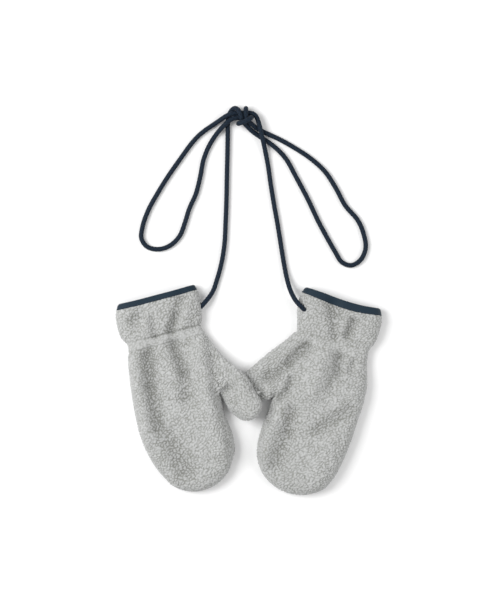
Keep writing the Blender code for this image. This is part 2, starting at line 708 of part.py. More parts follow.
def add_binding(mitten, collection):
    """Add the tape folded over the cuff edge, made from the panels' points moved out."""
    nominal, outward = cuff_loop(mitten, 0)
    slope = (cuff_loop(mitten, 1)[0] - nominal) / SHARED_ROWS[1]
    outside, inside = TAPE_CLEARANCE, PRESSED_FROM + PRESSED_FLEECE + SEAM_GAP
    section = [
        (outside, TAPE_EDGE),
        (outside + TAPE, TAPE_EDGE),
        (outside + TAPE, -SEAM_GAP),
        (inside, -SEAM_GAP),
        (inside, TAPE_EDGE),
        (inside + TAPE, TAPE_EDGE),
        (inside + TAPE, -TAPE_FOLD + TAPE_CORNER),
        (inside + TAPE - TAPE_CORNER, -TAPE_FOLD),
        (outside + TAPE_CORNER, -TAPE_FOLD),
        (outside, -TAPE_FOLD + TAPE_CORNER),
    ]
    rings = []
    for depth, along in section:
        ring = nominal + slope * along - depth * outward
        ring[:, 0] += cuff_wave(mitten, ring)
        rings.append(ring)
    around, corners = len(nominal), len(section)
    faces = []
    for i in range(corners):
        ring, following = i * around, (i + 1) % corners * around
        for j in range(around):
            ahead = (j + 1) % around
            faces.append((ring + j, ring + ahead, following + ahead, following + j))
    points = to_row(mitten, np.vstack(rings))
    return add_solid(f"{mitten.name}_binding", points, faces, TAPE_NAVY, collection)


def cord_route():
    """Return the cord's centre line in metres, read from a smooth curve through its points."""
    named = [point for stretch in CORD_STRETCHES for point in stretch]
    points = np.array([[*photo_place(p.x_px, p.y_px), p.height] for p in named])
    step = np.linalg.norm(np.diff(points, axis=0), axis=1)
    place = np.concatenate([[0.0], np.cumsum(step)])
    fine = np.linspace(0.0, place[-1], 4000)
    curve = np.column_stack([smooth_values(fine, place, points[:, axis]) for axis in range(3)])
    curve[:, 2] = np.maximum(curve[:, 2], L0)
    heading = np.diff(curve, axis=0)
    heading /= np.linalg.norm(heading, axis=1)[:, None]
    turn = np.arccos(np.clip((heading[1:] * heading[:-1]).sum(1), -1, 1))
    length = np.linalg.norm(np.diff(curve, axis=0), axis=1)
    share = length[:-1] / CORD_STEP + turn / np.radians(CORD_TURN_DEG)
    effort = np.concatenate([[0.0], np.cumsum(share)])
    count = int(np.ceil(effort[-1]))
    marks = np.interp(np.linspace(0, effort[-1], count + 1), effort, np.arange(len(effort)))
    chosen = curve[np.round(marks).astype(int)]
    chosen[-1] = curve[-1]
    return chosen * MM


def add_cord(collection):
    """Add the cord as one tube along its route."""
    route = cord_route()
    curve = bpy.data.curves.new("cord", "CURVE")
    curve.dimensions = "3D"
    curve.bevel_depth = CORD_DIAMETER / 2 * MM
    curve.bevel_resolution = 2
    curve.use_fill_caps = True
    spline = curve.splines.new("POLY")
    spline.points.add(len(route) - 1)
    for point, place in zip(spline.points, route):
        point.co = (*place, 1.0)
    curve.materials.append(finish_material(CORD_NAVY))
    cord = bpy.data.objects.new("cord", curve)
    collection.objects.link(cord)
    return cord


def main():
    """Build the pair of mittens and their cord."""
    for item in list(bpy.data.objects):
        bpy.data.objects.remove(item, do_unlink=True)
    collection = bpy.data.collections.new("pair_of_mittens")
    bpy.context.scene.collection.children.link(collection)
    for mitten in (LEFT, RIGHT):
        add_panel(mitten, True, collection)
        add_panel(mitten, False, collection)
        add_binding(mitten, collection)
    add_cord(collection)


main()
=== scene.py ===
"""Looks of a pair of child's boa fleece mittens on a navy cord, lying flat on a pale table.

Sizes are in millimetres in a mitten's own frame until a piece is placed: "along" runs from the
cuff edge to the fingertips, "across" runs towards the thumb and heights are above the table.
Left and right are as seen from above with the cuffs away from the viewer.
"""

import logging
import math
from dataclasses import dataclass, field
from enum import Enum

import bpy
import numpy as np
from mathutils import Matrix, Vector
from mathutils.kdtree import KDTree


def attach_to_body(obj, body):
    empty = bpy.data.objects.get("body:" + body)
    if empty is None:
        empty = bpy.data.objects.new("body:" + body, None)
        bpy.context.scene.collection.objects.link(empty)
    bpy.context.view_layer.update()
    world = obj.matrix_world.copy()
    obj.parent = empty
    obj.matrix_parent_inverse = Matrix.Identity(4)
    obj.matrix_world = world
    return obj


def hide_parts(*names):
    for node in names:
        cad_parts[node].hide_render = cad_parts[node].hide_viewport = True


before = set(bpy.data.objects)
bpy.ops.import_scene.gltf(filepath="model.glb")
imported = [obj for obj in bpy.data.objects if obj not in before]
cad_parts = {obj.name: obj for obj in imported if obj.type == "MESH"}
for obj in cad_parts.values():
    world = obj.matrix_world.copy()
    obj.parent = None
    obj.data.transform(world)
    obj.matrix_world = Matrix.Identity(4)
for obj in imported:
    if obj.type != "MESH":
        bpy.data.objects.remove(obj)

LOG = logging.getLogger("mittens")
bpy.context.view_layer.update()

MM = 0.001
PHOTO_MM_PER_PIXEL = 0.875
PHOTO_ORIGIN_PX = (248.75, 390.2)
PHOTO_CENTRE_PX = (250.0, 300.0)
PHOTO_HEIGHT_PX = 600.0

# Layers of the bound cuff edge, counted from the fleece's nominal face inwards
TAPE_DEPTH = 0.05
TAPE_THICKNESS = 0.8
TAPE_GAP = 0.3
PRESSED_FLEECE = 1.6

# The least height that a point keeps over the table
LEAST_HEIGHT = 0.02

# An angle or length up to this counts as none
TINY = 1e-6

Array = np.ndarray


class Face(Enum):
    """Which side of a mitten a panel is."""

    TOP = "front"
    UNDER = "rear"


class ThumbSide(Enum):
    """The two long edges of a thumb."""

    NEAR_FINGERS = "near"
    FAR_FROM_FINGERS = "far"


@dataclass(frozen=True)
class HandSection:
    """One section across the hand: its place, its two sides and its crown height."""

    along: float
    outer: float
    thumb_side: float
    crown: float


@dataclass(frozen=True)
class ThumbSection:
    """One section across the thumb, by the places of its two ends."""

    near_along: float
    near_across: float
    far_along: float
    far_across: float


@dataclass(frozen=True)
class Fold:
    """A soft trough or ridge along a short line, with its width and signed height."""

    along: float
    across: float
    to_along: float
    to_across: float
    width: float
    height: float


@dataclass(frozen=True)
class CordPoint:
    """A point of the cord's route: its pixel in the photo and its height above the table."""

    x_px: float
    y_px: float
    height: float


def photo_place(x_px: float, y_px: float) -> Array:
    """Return where a pixel of the photo lies on the table.

    Args:
        x_px: Column in the photo.
        y_px: Row in the photo.

    Returns:
        The place as x and y in millimetres.
    """
    x = (x_px - PHOTO_ORIGIN_PX[0]) * PHOTO_MM_PER_PIXEL
    y = (PHOTO_ORIGIN_PX[1] - y_px) * PHOTO_MM_PER_PIXEL
    return np.array([x, y])


def smooth_values(at: Array, places: Array, values: Array) -> Array:
    """Return a smooth curve's values through every row of a table.

    Args:
        at: Where the values are wanted.
        places: The table's places, rising.
        values: The table's values.

    Returns:
        One value for each place in ``at``.
    """
    places = np.asarray(places, float)
    values = np.asarray(values, float)
    at = np.clip(np.asarray(at, float), places[0], places[-1])
    slopes = np.gradient(values, places)
    index = np.clip(np.searchsorted(places, at, side="right") - 1, 0, len(places) - 2)
    span = places[index + 1] - places[index]
    t = (at - places[index]) / span
    start = (1 + 2 * t) * (1 - t) ** 2 * values[index] + t * (1 - t) ** 2 * span * slopes[index]
    end = t**2 * (3 - 2 * t) * values[index + 1] + t**2 * (t - 1) * span * slopes[index + 1]
    return start + end


def smoothstep(value: Array) -> Array:
    """Return an ease from 0 to 1 as the value goes from 0 to 1."""
    t = np.clip(value, 0.0, 1.0)
    return t * t * (3 - 2 * t)


def arc_through(start: Array, middle: Array, end: Array, fractions: Array) -> Array:
    """Return points of the circular arc through three points.

    Args:
        start: Where the arc starts.
        middle: A point that it passes.
        end: Where it ends.
        fractions: Fractions of its length, from 0 to 1.

    Returns:
        One point for each fraction.
    """
    start, middle, end = (np.asarray(point, float) for point in (start, middle, end))
    rows = 2 * np.array([middle - start, end - start])
    squares = np.array([middle @ middle - start @ start, end @ end - start @ start])
    centre = np.linalg.solve(rows, squares)
    angles = [np.arctan2(*(point - centre)[::-1]) for point in (start, middle, end)]
    turn = (angles[1] - angles[0] + np.pi) % (2 * np.pi) - np.pi
    turn += (angles[2] - angles[1] + np.pi) % (2 * np.pi) - np.pi
    angle = angles[0] + turn * np.asarray(fractions, float)
    radius = np.linalg.norm(start - centre)
    return centre + radius * np.column_stack([np.cos(angle), np.sin(angle)])


def unit(vectors: Array) -> Array:
    """Return the vectors at length 1."""
    return vectors / np.linalg.norm(vectors, axis=-1, keepdims=True)


def run_along(points: Array) -> Array:
    """Return how far along a line each of its points lies."""
    steps = np.linalg.norm(np.diff(points, axis=0), axis=1)
    return np.concatenate([[0.0], np.cumsum(steps)])


def points_at(marks: Array, run: Array, points: Array) -> Array:
    """Return points part of the way along a line.

    Args:
        marks: How far along the line they are wanted.
        run: How far along it each of its own points lies.
        points: Its own points.

    Returns:
        One point for each mark.
    """
    return np.column_stack([np.interp(marks, run, column) for column in points.T])


@dataclass
class SoftRipple:
    """A smooth random relief made of plane waves, the same at every run.

    Attributes:
        wavelength: The mean wavelength in millimetres.
        seed: Picks the pattern.
        waves: How many plane waves are added.
    """

    wavelength: float
    seed: int
    waves: int = 28

    # Least and greatest wavelength against the mean, and how much of its range the relief uses
    SPREAD = (0.7, 1.5)
    AMPLITUDE = 0.7

    def at(self, points: Array) -> Array:
        """Return the relief at points in millimetres, mostly between -1 and 1."""
        random = np.random.default_rng(self.seed)
        heading = unit(random.normal(size=(self.waves, points.shape[1])))
        number = 2 * np.pi / (self.wavelength * random.uniform(*self.SPREAD, self.waves))
        phase = random.uniform(0, 2 * np.pi, self.waves)
        total = np.zeros(len(points))
        for way, wave, start in zip(heading, number, phase):
            total += np.cos(points @ way * wave + start)
        return total * np.sqrt(2.0 / self.waves) * self.AMPLITUDE


@dataclass
class SeamLine:
    """The seam line round a mitten seen from above, open at the cuff.

    Attributes:
        points: Its points, 1 to 2 mm apart.
    """

    points: Array

    # How many places are looked up at once, and how near one counts as on the line
    AT_ONCE = 4000
    ON_LINE = 0.05

    def nearest(self, places: Array) -> tuple[Array, Array]:
        """Find how far inside the line each place lies.

        Args:
            places: Places seen from above.

        Returns:
            The distances, and the directions inwards from the line.
        """
        parts = np.array_split(places, len(places) // self.AT_ONCE + 1)
        found = [self._nearest(part) for part in parts]
        return np.concatenate([f[0] for f in found]), np.vstack([f[1] for f in found])

    def _nearest(self, places: Array) -> tuple[Array, Array]:
        """Return distances and inward directions for a few thousand places."""
        start, step = self.points[:-1], np.diff(self.points, axis=0)
        length = np.linalg.norm(step, axis=1)
        side = np.column_stack([-step[:, 1], step[:, 0]]) / length[:, None]
        corner = unit(np.vstack([side[:1], side[:-1] + side[1:], side[-1:]]))
        offset = places[:, None, :] - start[None]
        t = np.clip((offset * step).sum(2) / length**2, 0.0, 1.0)
        gap = offset - t[..., None] * step
        nearest = np.argmin((gap**2).sum(2), axis=1)
        row = np.arange(len(places))
        gap, t = gap[row, nearest], t[row, nearest][:, None]
        distance = np.linalg.norm(gap, axis=1)
        edge = unit(corner[nearest] * (1 - t) + corner[nearest + 1] * t)
        on_line = (distance < self.ON_LINE)[:, None]
        return distance, np.where(on_line, edge, gap / np.maximum(distance, self.ON_LINE)[:, None])


@dataclass
class MittenForm:
    """The smooth form of one mitten, worked out from its table of sections.

    Attributes:
        name: Left or right, as the frame's nodes are named.
        mirror: 1 for the left mitten, -1 for the right.
        tilt_deg: How far the fingertips lean in towards the other mitten.
        cuff_px: The middle of the cuff edge in the photo.
        hand: The sections of the hand.
        tip: The foremost point of the fingertips.
        crotch: Where along the hand the thumb parts from the fingers.
        thumb: The sections of the thumb.
        thumb_tip: The foremost point of the thumb.
        thumb_thickness: The crown of the thumb above what it lies on.
        folds: The troughs and ridges of the top.
        edge_bend: How far the cuff edge lies down the hand, at even steps from the outer side.
        tape_ends: How far the tape reaches along the hand, at the outer side, the middle and
            the thumb side.
        thumb_lift: How far the thumb is raised by the other thumb under it.
        rolled_seam_deg: How far up the cuff's edge the thumb side seam is rolled.
        wrist: Where along the hand the thumb starts to part from the wrist.
        seam_height: The side seam's height above the table.
        hand_rounding: Width of the top's rounded edge on the hand.
        thumb_rounding: Width of the top's rounded edge on the thumb.
        under_rounding: Width of the underside's rounded edge.
        thumb_blend: How far the thumb takes to get its own form.
        lift_run: How far the thumb takes to climb.
        rolled_seam_end: Where along the hand the rolled seam is back at the edge.
        gather_pitch: Distance between the small gathers at the elastic.
        gather_height: Height of those gathers.
        elastic_along: Where along the hand the middle of the elastic lies.
        elastic_grip: How much its two rows of stitches show, from 0 to 1.
        row_lean_deg: How far the fleece's rows of curls lean up the hand, from across it.
    """

    name: str
    mirror: int
    tilt_deg: float
    cuff_px: tuple[float, float]
    hand: list[HandSection]
    tip: tuple[float, float]
    crotch: float
    thumb: list[ThumbSection]
    thumb_tip: tuple[float, float]
    thumb_thickness: float
    folds: list[Fold]
    edge_bend: tuple[float, ...]
    tape_ends: tuple[float, float, float]
    thumb_lift: float = 0.0
    rolled_seam_deg: float = 0.0
    wrist: float = 36.0
    seam_height: float = 6.0
    hand_rounding: float = 16.0
    thumb_rounding: float = 11.0
    under_rounding: float = 5.0
    thumb_blend: float = 14.0
    lift_run: float = 21.0
    rolled_seam_end: float = 35.0
    gather_pitch: float = 7.5
    gather_height: float = 0.18
    elastic_along: float = 37.6
    elastic_grip: float = 1.0
    row_lean_deg: float = 30.0
    seam: SeamLine = field(init=False)

    # How sharply folds join, how far from a seam they fade, and how deep a fold is where its painted
    # shade is full
    FOLD_JOINING = 4
    FOLD_FADE = 4.5
    DEEP_FOLD = 6.0
    # How far from the elastic the gathers reach, and how much and how often they drift sideways
    GATHER_REACH = 9.0
    GATHER_DRIFT = 1.6
    DRIFT_LENGTH = 9.0
    # Half the width over which the cuff edge's bend and the tape's reach are given
    CUFF_HALF_WIDTH = 36.0
    # Powers of the rounded edges: a higher one makes a fuller edge
    TOP_FULLNESS = 2.8
    UNDER_FULLNESS = 2.0
    # How far past the thumb tip the lift goes, and how long a rolled seam takes to reach the edge
    LIFT_MARGIN = 5.0
    ROLL_FADE = 14.0
    # How far the seam line goes on past the cuff edge
    OVERRUN = 12.0

    def __post_init__(self) -> None:
        """Work out the seam line once."""
        self.seam = SeamLine(self._outline())

    def hand_edge(self, column: str, along: Array) -> Array:
        """Return one column of the hand's table as a smooth curve.

        Args:
            column: outer, thumb_side or crown.
            along: Places along the hand.

        Returns:
            The column's values there.
        """
        places = [section.along for section in self.hand]
        return smooth_values(along, places, [getattr(section, column) for section in self.hand])

    def hand_tip(self, fractions: Array) -> Array:
        """Return points round the fingertips, from the outer side to the thumb side."""
        last = self.hand[-1]
        ends = (last.along, last.outer), (last.along, last.thumb_side)
        return arc_through(ends[0], self.tip, ends[1], fractions)

    def thumb_edge(self, edge: ThumbSide, fraction: Array) -> Array:
        """Return points along one side of the thumb, from its root at 0 to its tip at 1."""
        places = np.linspace(0.0, 1.0, len(self.thumb))
        columns = [edge.value + "_along", edge.value + "_across"]
        values = [[getattr(section, column) for section in self.thumb] for column in columns]
        return np.column_stack([smooth_values(fraction, places, value) for value in values])

    def round_thumb_tip(self, fractions: Array) -> Array:
        """Return points round the thumb tip, from the side near the fingers to the far side."""
        near = self.thumb_edge(ThumbSide.NEAR_FINGERS, [1.0])[0]
        far = self.thumb_edge(ThumbSide.FAR_FROM_FINGERS, [1.0])[0]
        return arc_through(near, self.thumb_tip, far, fractions)

    def _outline(self) -> Array:
        """Return the seam line's points, from the outer end of the cuff to its thumb side end."""
        fine = np.linspace(0.0, 1.0, 40)
        last = self.hand[-1].along
        down = np.linspace(0.0, last, 120)
        back = np.linspace(last, self.crotch, 50)
        wrist = np.linspace(self.wrist, 0.0, 30)
        overrun = np.array([-self.OVERRUN])
        pieces = [
            np.column_stack([overrun, self.hand_edge("outer", [0.0])]),
            np.column_stack([down, self.hand_edge("outer", down)]),
            self.hand_tip(fine)[1:],
            np.column_stack([back, self.hand_edge("thumb_side", back)])[1:],
            self.thumb_edge(ThumbSide.NEAR_FINGERS, fine)[1:],
            self.round_thumb_tip(fine)[1:],
            self.thumb_edge(ThumbSide.FAR_FROM_FINGERS, fine[::-1])[1:],
            np.column_stack([wrist, self.hand_edge("thumb_side", wrist)])[1:],
            np.column_stack([overrun, self.hand_edge("thumb_side", [0.0])]),
        ]
        return np.vstack(pieces)

    def past_hand(self, places: Array) -> Array:
        """Return how far each place lies past the hand's thumb side, towards the thumb."""
        inside = np.clip(places[:, 0], self.wrist, self.crotch)
        return places[:, 1] - self.hand_edge("thumb_side", inside)

    def lift(self, places: Array) -> Array:
        """Return how far the cloth is raised where the thumb climbs onto the other one."""
        end = self.thumb_tip[0] + self.LIFT_MARGIN
        on_thumb = (places[:, 0] > self.wrist) & (places[:, 0] < end)
        climb = smoothstep(self.past_hand(places) / self.lift_run)
        return np.where(on_thumb, self.thumb_lift * climb, 0.0)

    def fold_height(self, places: Array, distance: Array) -> Array:
        """Return the height that folds and gathers add to the top.

        Args:
            places: Places seen from above.
            distance: How far inside the seam each lies.

        Returns:
            Heights in millimetres, fading out at the seams.
        """
        valley = np.zeros(len(places))
        ridge = np.zeros(len(places))
        for fold in self.folds:
            start = np.array([fold.along, fold.across])
            run = np.array([fold.to_along, fold.to_across]) - start
            t = np.clip((places - start) @ run / (run @ run), 0.0, 1.0)
            away = np.linalg.norm(places - start - t[:, None] * run, axis=1)
            part = abs(fold.height) * np.exp(-((away / fold.width) ** 2))
            into = valley if fold.height < 0 else ridge
            into += part**self.FOLD_JOINING
        total = ridge ** (1 / self.FOLD_JOINING) - valley ** (1 / self.FOLD_JOINING)
        past_elastic = (places[:, 0] - self.elastic_along) / self.GATHER_REACH
        near_elastic = np.exp(-(past_elastic**2))
        drift = places[:, 1] + self.GATHER_DRIFT * np.sin(places[:, 1] / self.DRIFT_LENGTH)
        gathers = np.cos(2 * np.pi * drift / self.gather_pitch)
        total += self.gather_height * gathers * near_elastic
        return total * smoothstep(distance / self.FOLD_FADE)

    def painted_fold_shade(self, places: Array, distance: Array) -> Array:
        """Return how much painted shade the folds get, from 0 to 1, growing with their depth."""
        return np.clip(-self.fold_height(places, distance) / self.DEEP_FOLD, 0.0, 1.0)

    def surface(self, places: Array, over: Array) -> tuple[Array, Array, Array]:
        """Lay places seen from above onto the mitten.

        Args:
            places: Places seen from above.
            over: Whether each lies on the top, not on the underside.

        Returns:
            The points, the directions out of the cloth and the distances from the seam.
        """
        distance, inward = self.seam.nearest(places)
        thumb = smoothstep(self.past_hand(places) / self.thumb_blend)
        crown = self.hand_edge("crown", places[:, 0])
        crown = crown + (self.thumb_thickness - crown) * thumb
        rounding = self.hand_rounding + (self.thumb_rounding - self.hand_rounding) * thumb
        width = np.where(over, rounding, self.under_rounding)
        power = np.where(over, self.TOP_FULLNESS, self.UNDER_FULLNESS)
        cosine = (1 - np.clip(distance / width, 0.0, 1.0)) ** (power / 2)
        sine = np.sqrt(1 - cosine**2)
        folds = self.fold_height(places, distance)
        top = self.seam_height + (crown - self.seam_height) * sine + folds
        height = self.lift(places) + np.where(over, top, self.seam_height * (1 - sine))
        outward = np.column_stack([-inward * cosine[:, None], np.where(over, sine, -sine)])
        return np.column_stack([places, height]), outward, distance

    def seam_angle(self, along: float) -> float:
        """Return how far up the rounded edge the thumb side seam lies, in radians."""
        rolled = 1 - smoothstep((along - self.rolled_seam_end + self.ROLL_FADE) / self.ROLL_FADE)
        return math.radians(self.rolled_seam_deg) * float(rolled)

    def cuff_bend(self, places: Array) -> Array:
        """Return how far the cuff edge bends along the mitten, fading out at the wrist."""
        fade = 1 - smoothstep(places[:, 0] / self.wrist)
        steps = np.linspace(-self.CUFF_HALF_WIDTH, self.CUFF_HALF_WIDTH, len(self.edge_bend))
        return smooth_values(places[:, 1], steps, self.edge_bend) * fade

    def tape_end(self, across: Array) -> Array:
        """Return how far along the hand the tape reaches, at places across the cuff."""
        outer, middle, thumb_side = self.tape_ends
        side = self.CUFF_HALF_WIDTH
        steps = [-side, -side / 3, side / 3, side]
        return np.interp(across, steps, [outer, middle, middle, thumb_side])

    def placed(self, points: Array, least: float = LEAST_HEIGHT) -> Array:
        """Place points of the mitten's own frame in the pair's frame.

        Args:
            points: Points in the mitten's own frame.
            least: The least height over the table that they keep.

        Returns:
            The placed points in metres.
        """
        tilt = math.radians(self.tilt_deg)
        along = np.array([self.mirror * math.sin(tilt), -math.cos(tilt)])
        across = np.array([self.mirror * math.cos(tilt), math.sin(tilt)])
        place = photo_place(*self.cuff_px) + points[:, :1] * along + points[:, 1:2] * across
        return np.column_stack([place, np.maximum(points[:, 2], least)]) * MM


@dataclass
class PanelGrid:
    """A fine net of places over one panel, evenly spaced along the cloth.

    Attributes:
        form: The mitten.
        face: Which panel it is.
        spacing: The distance between neighbouring points.
        coarse: How many fine steps one step of the inner wall takes.
    """

    form: MittenForm
    face: Face
    spacing: float
    coarse: int = 4
    places: Array = field(init=False)
    over: Array = field(init=False)
    hand_numbers: Array = field(init=False)
    thumb_numbers: Array = field(init=False)

    # Where the rows begin to bulge with the fingertips, and how far the last one does
    BULGE_FROM = 105.0
    TIP_BULGE = 12.8
    # The cloth's length across the hand, and the edges' heights that space the net along it
    ACROSS_HAND = 88.0
    TIP_HEIGHT = 12.0
    SIDE_HEIGHT = 10.0
    THUMB_HEIGHT = 6.0
    # The thumb's length, and its width near the tip against the chord of its round end
    THUMB_LENGTH = 52.0
    THUMB_SWELL = 1.15

    def __post_init__(self) -> None:
        """Lay out the hand's net and then the thumb's, which starts on the hand's edge."""
        along, first = self._rows()
        columns = self._even_count(self.ACROSS_HAND)
        hand, over = self._hand(along, columns)
        rows = len(along)
        self.hand_numbers = np.arange(rows * (columns + 1)).reshape(rows, columns + 1)
        root_numbers = self.hand_numbers[first[0] : first[1] + 1, -1][::-1]
        root = hand.reshape(-1, 2)[root_numbers]
        thumb = self._thumb(root)
        new = hand.shape[0] * hand.shape[1] + np.arange(thumb[1:].shape[0] * thumb.shape[1])
        new = new.reshape(-1, thumb.shape[1])
        self.thumb_numbers = np.vstack([root_numbers, new])
        self.places = np.vstack([hand.reshape(-1, 2), thumb[1:].reshape(-1, 2)])
        self.over = np.concatenate([over.ravel(), np.full(new.size, self.face is Face.TOP)])

    def _even_count(self, length: float) -> int:
        """Return how many steps a length takes, as a multiple of the coarse step."""
        return max(2, round(length / self.spacing / self.coarse)) * self.coarse

    def _rows(self) -> tuple[Array, tuple[int, int]]:
        """Return the rows' places along the hand, and which ones bound the thumb's root."""
        form = self.form
        last = form.hand[-1].along
        rounding = form.hand_rounding if self.face is Face.TOP else form.under_rounding
        rise = self.TIP_HEIGHT if self.face is Face.TOP else form.seam_height
        cuff = np.linspace(0.0, form.wrist, self._even_count(form.wrist) + 1)
        root = np.linspace(form.wrist, form.crotch, self._even_count(form.crotch - form.wrist) + 1)
        fine = np.linspace(form.crotch, last, 2000)
        middle = fine + self.TIP_BULGE * self._bulge(fine)
        inside = np.clip((last + self.TIP_BULGE - middle) / rounding, 0.0, 1.0)
        height = rise * np.sqrt(1 - (1 - inside) ** 2)
        run = run_along(np.column_stack([middle, height]))
        steps = np.linspace(0.0, run[-1], self._even_count(run[-1]) + 1)
        fingers = np.interp(steps, run, fine)
        along = np.concatenate([cuff, root[1:], fingers[1:]])
        return along, (len(cuff) - 1, len(cuff) + len(root) - 2)

    def _bulge(self, along: Array) -> Array:
        """Return how much of the fingertips' arc the rows have taken on."""
        last = self.form.hand[-1].along
        return smoothstep((along - self.BULGE_FROM) / (last - self.BULGE_FROM) / 2) * 2

    def _edge_path(self, angle: float, rounding: float) -> tuple[Array, Array, Array]:
        """Return a section's edge from its seam to the flat.

        Args:
            angle: How far up the rounded edge the seam lies, in radians.
            rounding: Width of the top's rounded edge.

        Returns:
            Distances in from the silhouette, heights and angles round the edge.
        """
        end = np.pi / 2 if self.face is Face.TOP else -np.pi / 2
        steps = np.linspace(angle, end, 60)
        over = steps > TINY
        width = np.where(over, rounding, self.form.under_rounding)
        rise = np.where(over, self.SIDE_HEIGHT, self.form.seam_height)
        return width * (1 - np.cos(steps)), rise * np.sin(steps), steps

    def _row(self, width: float, angle: float, columns: int) -> tuple[Array, Array]:
        """Space one row evenly along the cloth.

        Args:
            width: Width of the hand at the row.
            angle: How far up the edge the thumb side seam lies.
            columns: How many steps the row has.

        Returns:
            Fractions across the hand, and the angles round its edges.
        """
        rounding = self.form.hand_rounding
        first_in, first_up, first_angle = self._edge_path(0.0, rounding)
        last_in, last_up, last_angle = self._edge_path(angle, rounding)
        across = np.concatenate([first_in, (width - last_in)[::-1]])
        height = np.concatenate([first_up, last_up[::-1]])
        turn = np.concatenate([first_angle, last_angle[::-1]])
        run = run_along(np.column_stack([across, height]))
        steps = np.linspace(0.0, run[-1], columns + 1)
        return np.interp(steps, run, across) / width, np.interp(steps, run, turn)

    def _hand(self, along: Array, columns: int) -> tuple[Array, Array]:
        """Return the hand's places, row by row, and whether each lies on the top."""
        form = self.form
        last = form.hand[-1].along
        places, over = [], []
        for row, bulge in zip(along, self._bulge(along)):
            outer = float(form.hand_edge("outer", row))
            width = float(form.hand_edge("thumb_side", row)) - outer
            part, turn = self._row(width, form.seam_angle(row), columns)
            arc = form.hand_tip(part)
            level = arc[0, 1] + (arc[-1, 1] - arc[0, 1]) * part
            chord = np.column_stack([np.full(columns + 1, last), level])
            straight = np.column_stack([np.full(columns + 1, row), outer + width * part])
            places.append(straight + (arc - chord) * bulge)
            over.append((turn > TINY) | (self.face is Face.TOP))
        return np.array(places), np.array(over)

    def _thumb(self, root: Array) -> Array:
        """Return the thumb's places, row by row from its root on the hand.

        Args:
            root: The hand's places that the thumb starts from.

        Returns:
            Places in rows, the root first.
        """
        form = self.form
        count = len(root)
        rounding = form.thumb_rounding if self.face is Face.TOP else form.under_rounding
        at_root = np.linspace(0.0, 1.0, count)
        angle = np.linspace(0.0, np.pi / 2, 60)
        edge = rounding * (1 - np.cos(angle))
        near = form.thumb_edge(ThumbSide.NEAR_FINGERS, [1.0])[0]
        far = form.thumb_edge(ThumbSide.FAR_FROM_FINGERS, [1.0])[0]
        width = float(np.linalg.norm(far - near)) * self.THUMB_SWELL
        across = np.concatenate([edge, (width - edge)[::-1]])
        height = self.THUMB_HEIGHT * np.sin(angle)
        run = run_along(np.column_stack([across, np.concatenate([height, height[::-1]])]))
        at_tip = np.interp(np.linspace(0.0, run[-1], count), run, across) / width
        inside = np.linspace(self.THUMB_LENGTH, 0.0, 600)
        outside = 1 - np.clip(inside / rounding, 0.0, 1.0)
        run = run_along(np.column_stack([inside, self.THUMB_HEIGHT * np.sqrt(1 - outside**2)]))
        steps = np.linspace(0.0, run[-1], self._even_count(run[-1]) + 1)
        rows = 1 - np.interp(steps, run, inside) / self.THUMB_LENGTH
        tip = form.round_thumb_tip(at_tip)
        root_bend = root - (root[0] + (root[-1] - root[0]) * at_root[:, None])
        tip_bend = tip - (tip[0] + (tip[-1] - tip[0]) * at_tip[:, None])
        places = [root]
        for row in rows[1:]:
            part = (at_root + (at_tip - at_root) * row)[:, None]
            first = form.thumb_edge(ThumbSide.NEAR_FINGERS, [row])
            final = form.thumb_edge(ThumbSide.FAR_FROM_FINGERS, [row])
            bend = root_bend * (1 - row) + tip_bend * row**2
            places.append(first + (final - first) * part + bend)
        return np.array(places)

    def quads(self, step: int) -> Array:
        """Return four corners for each cell of the net.

        Args:
            step: How many fine steps a cell's side takes.

        Returns:
            Corner numbers, one row for each cell.
        """
        cells = []
        for block in (self.hand_numbers, self.thumb_numbers):
            part = block[::step, ::step]
            corners = [part[:-1, :-1], part[1:, :-1], part[1:, 1:], part[:-1, 1:]]
            cells.append(np.stack(corners, axis=-1).reshape(-1, 4))
        return np.vstack(cells)

    def mouth(self) -> Array:
        """Return the numbers of the points along the cuff edge."""
        return self.hand_numbers[0]

    def border(self) -> list[Array]:
        """Return the numbers round the panel as lines from corner to corner."""
        hand, thumb = self.hand_numbers, self.thumb_numbers
        wrist_row = int(np.where(hand[:, -1] == thumb[0, -1])[0][0])
        crotch_row = int(np.where(hand[:, -1] == thumb[0, 0])[0][0])
        return [
            hand[:, 0],
            hand[-1, :],
            hand[crotch_row:, -1][::-1],
            thumb[:, 0],
            thumb[-1, :],
            thumb[:, -1][::-1],
            hand[: wrist_row + 1, -1][::-1],
            hand[0, ::-1],
        ]


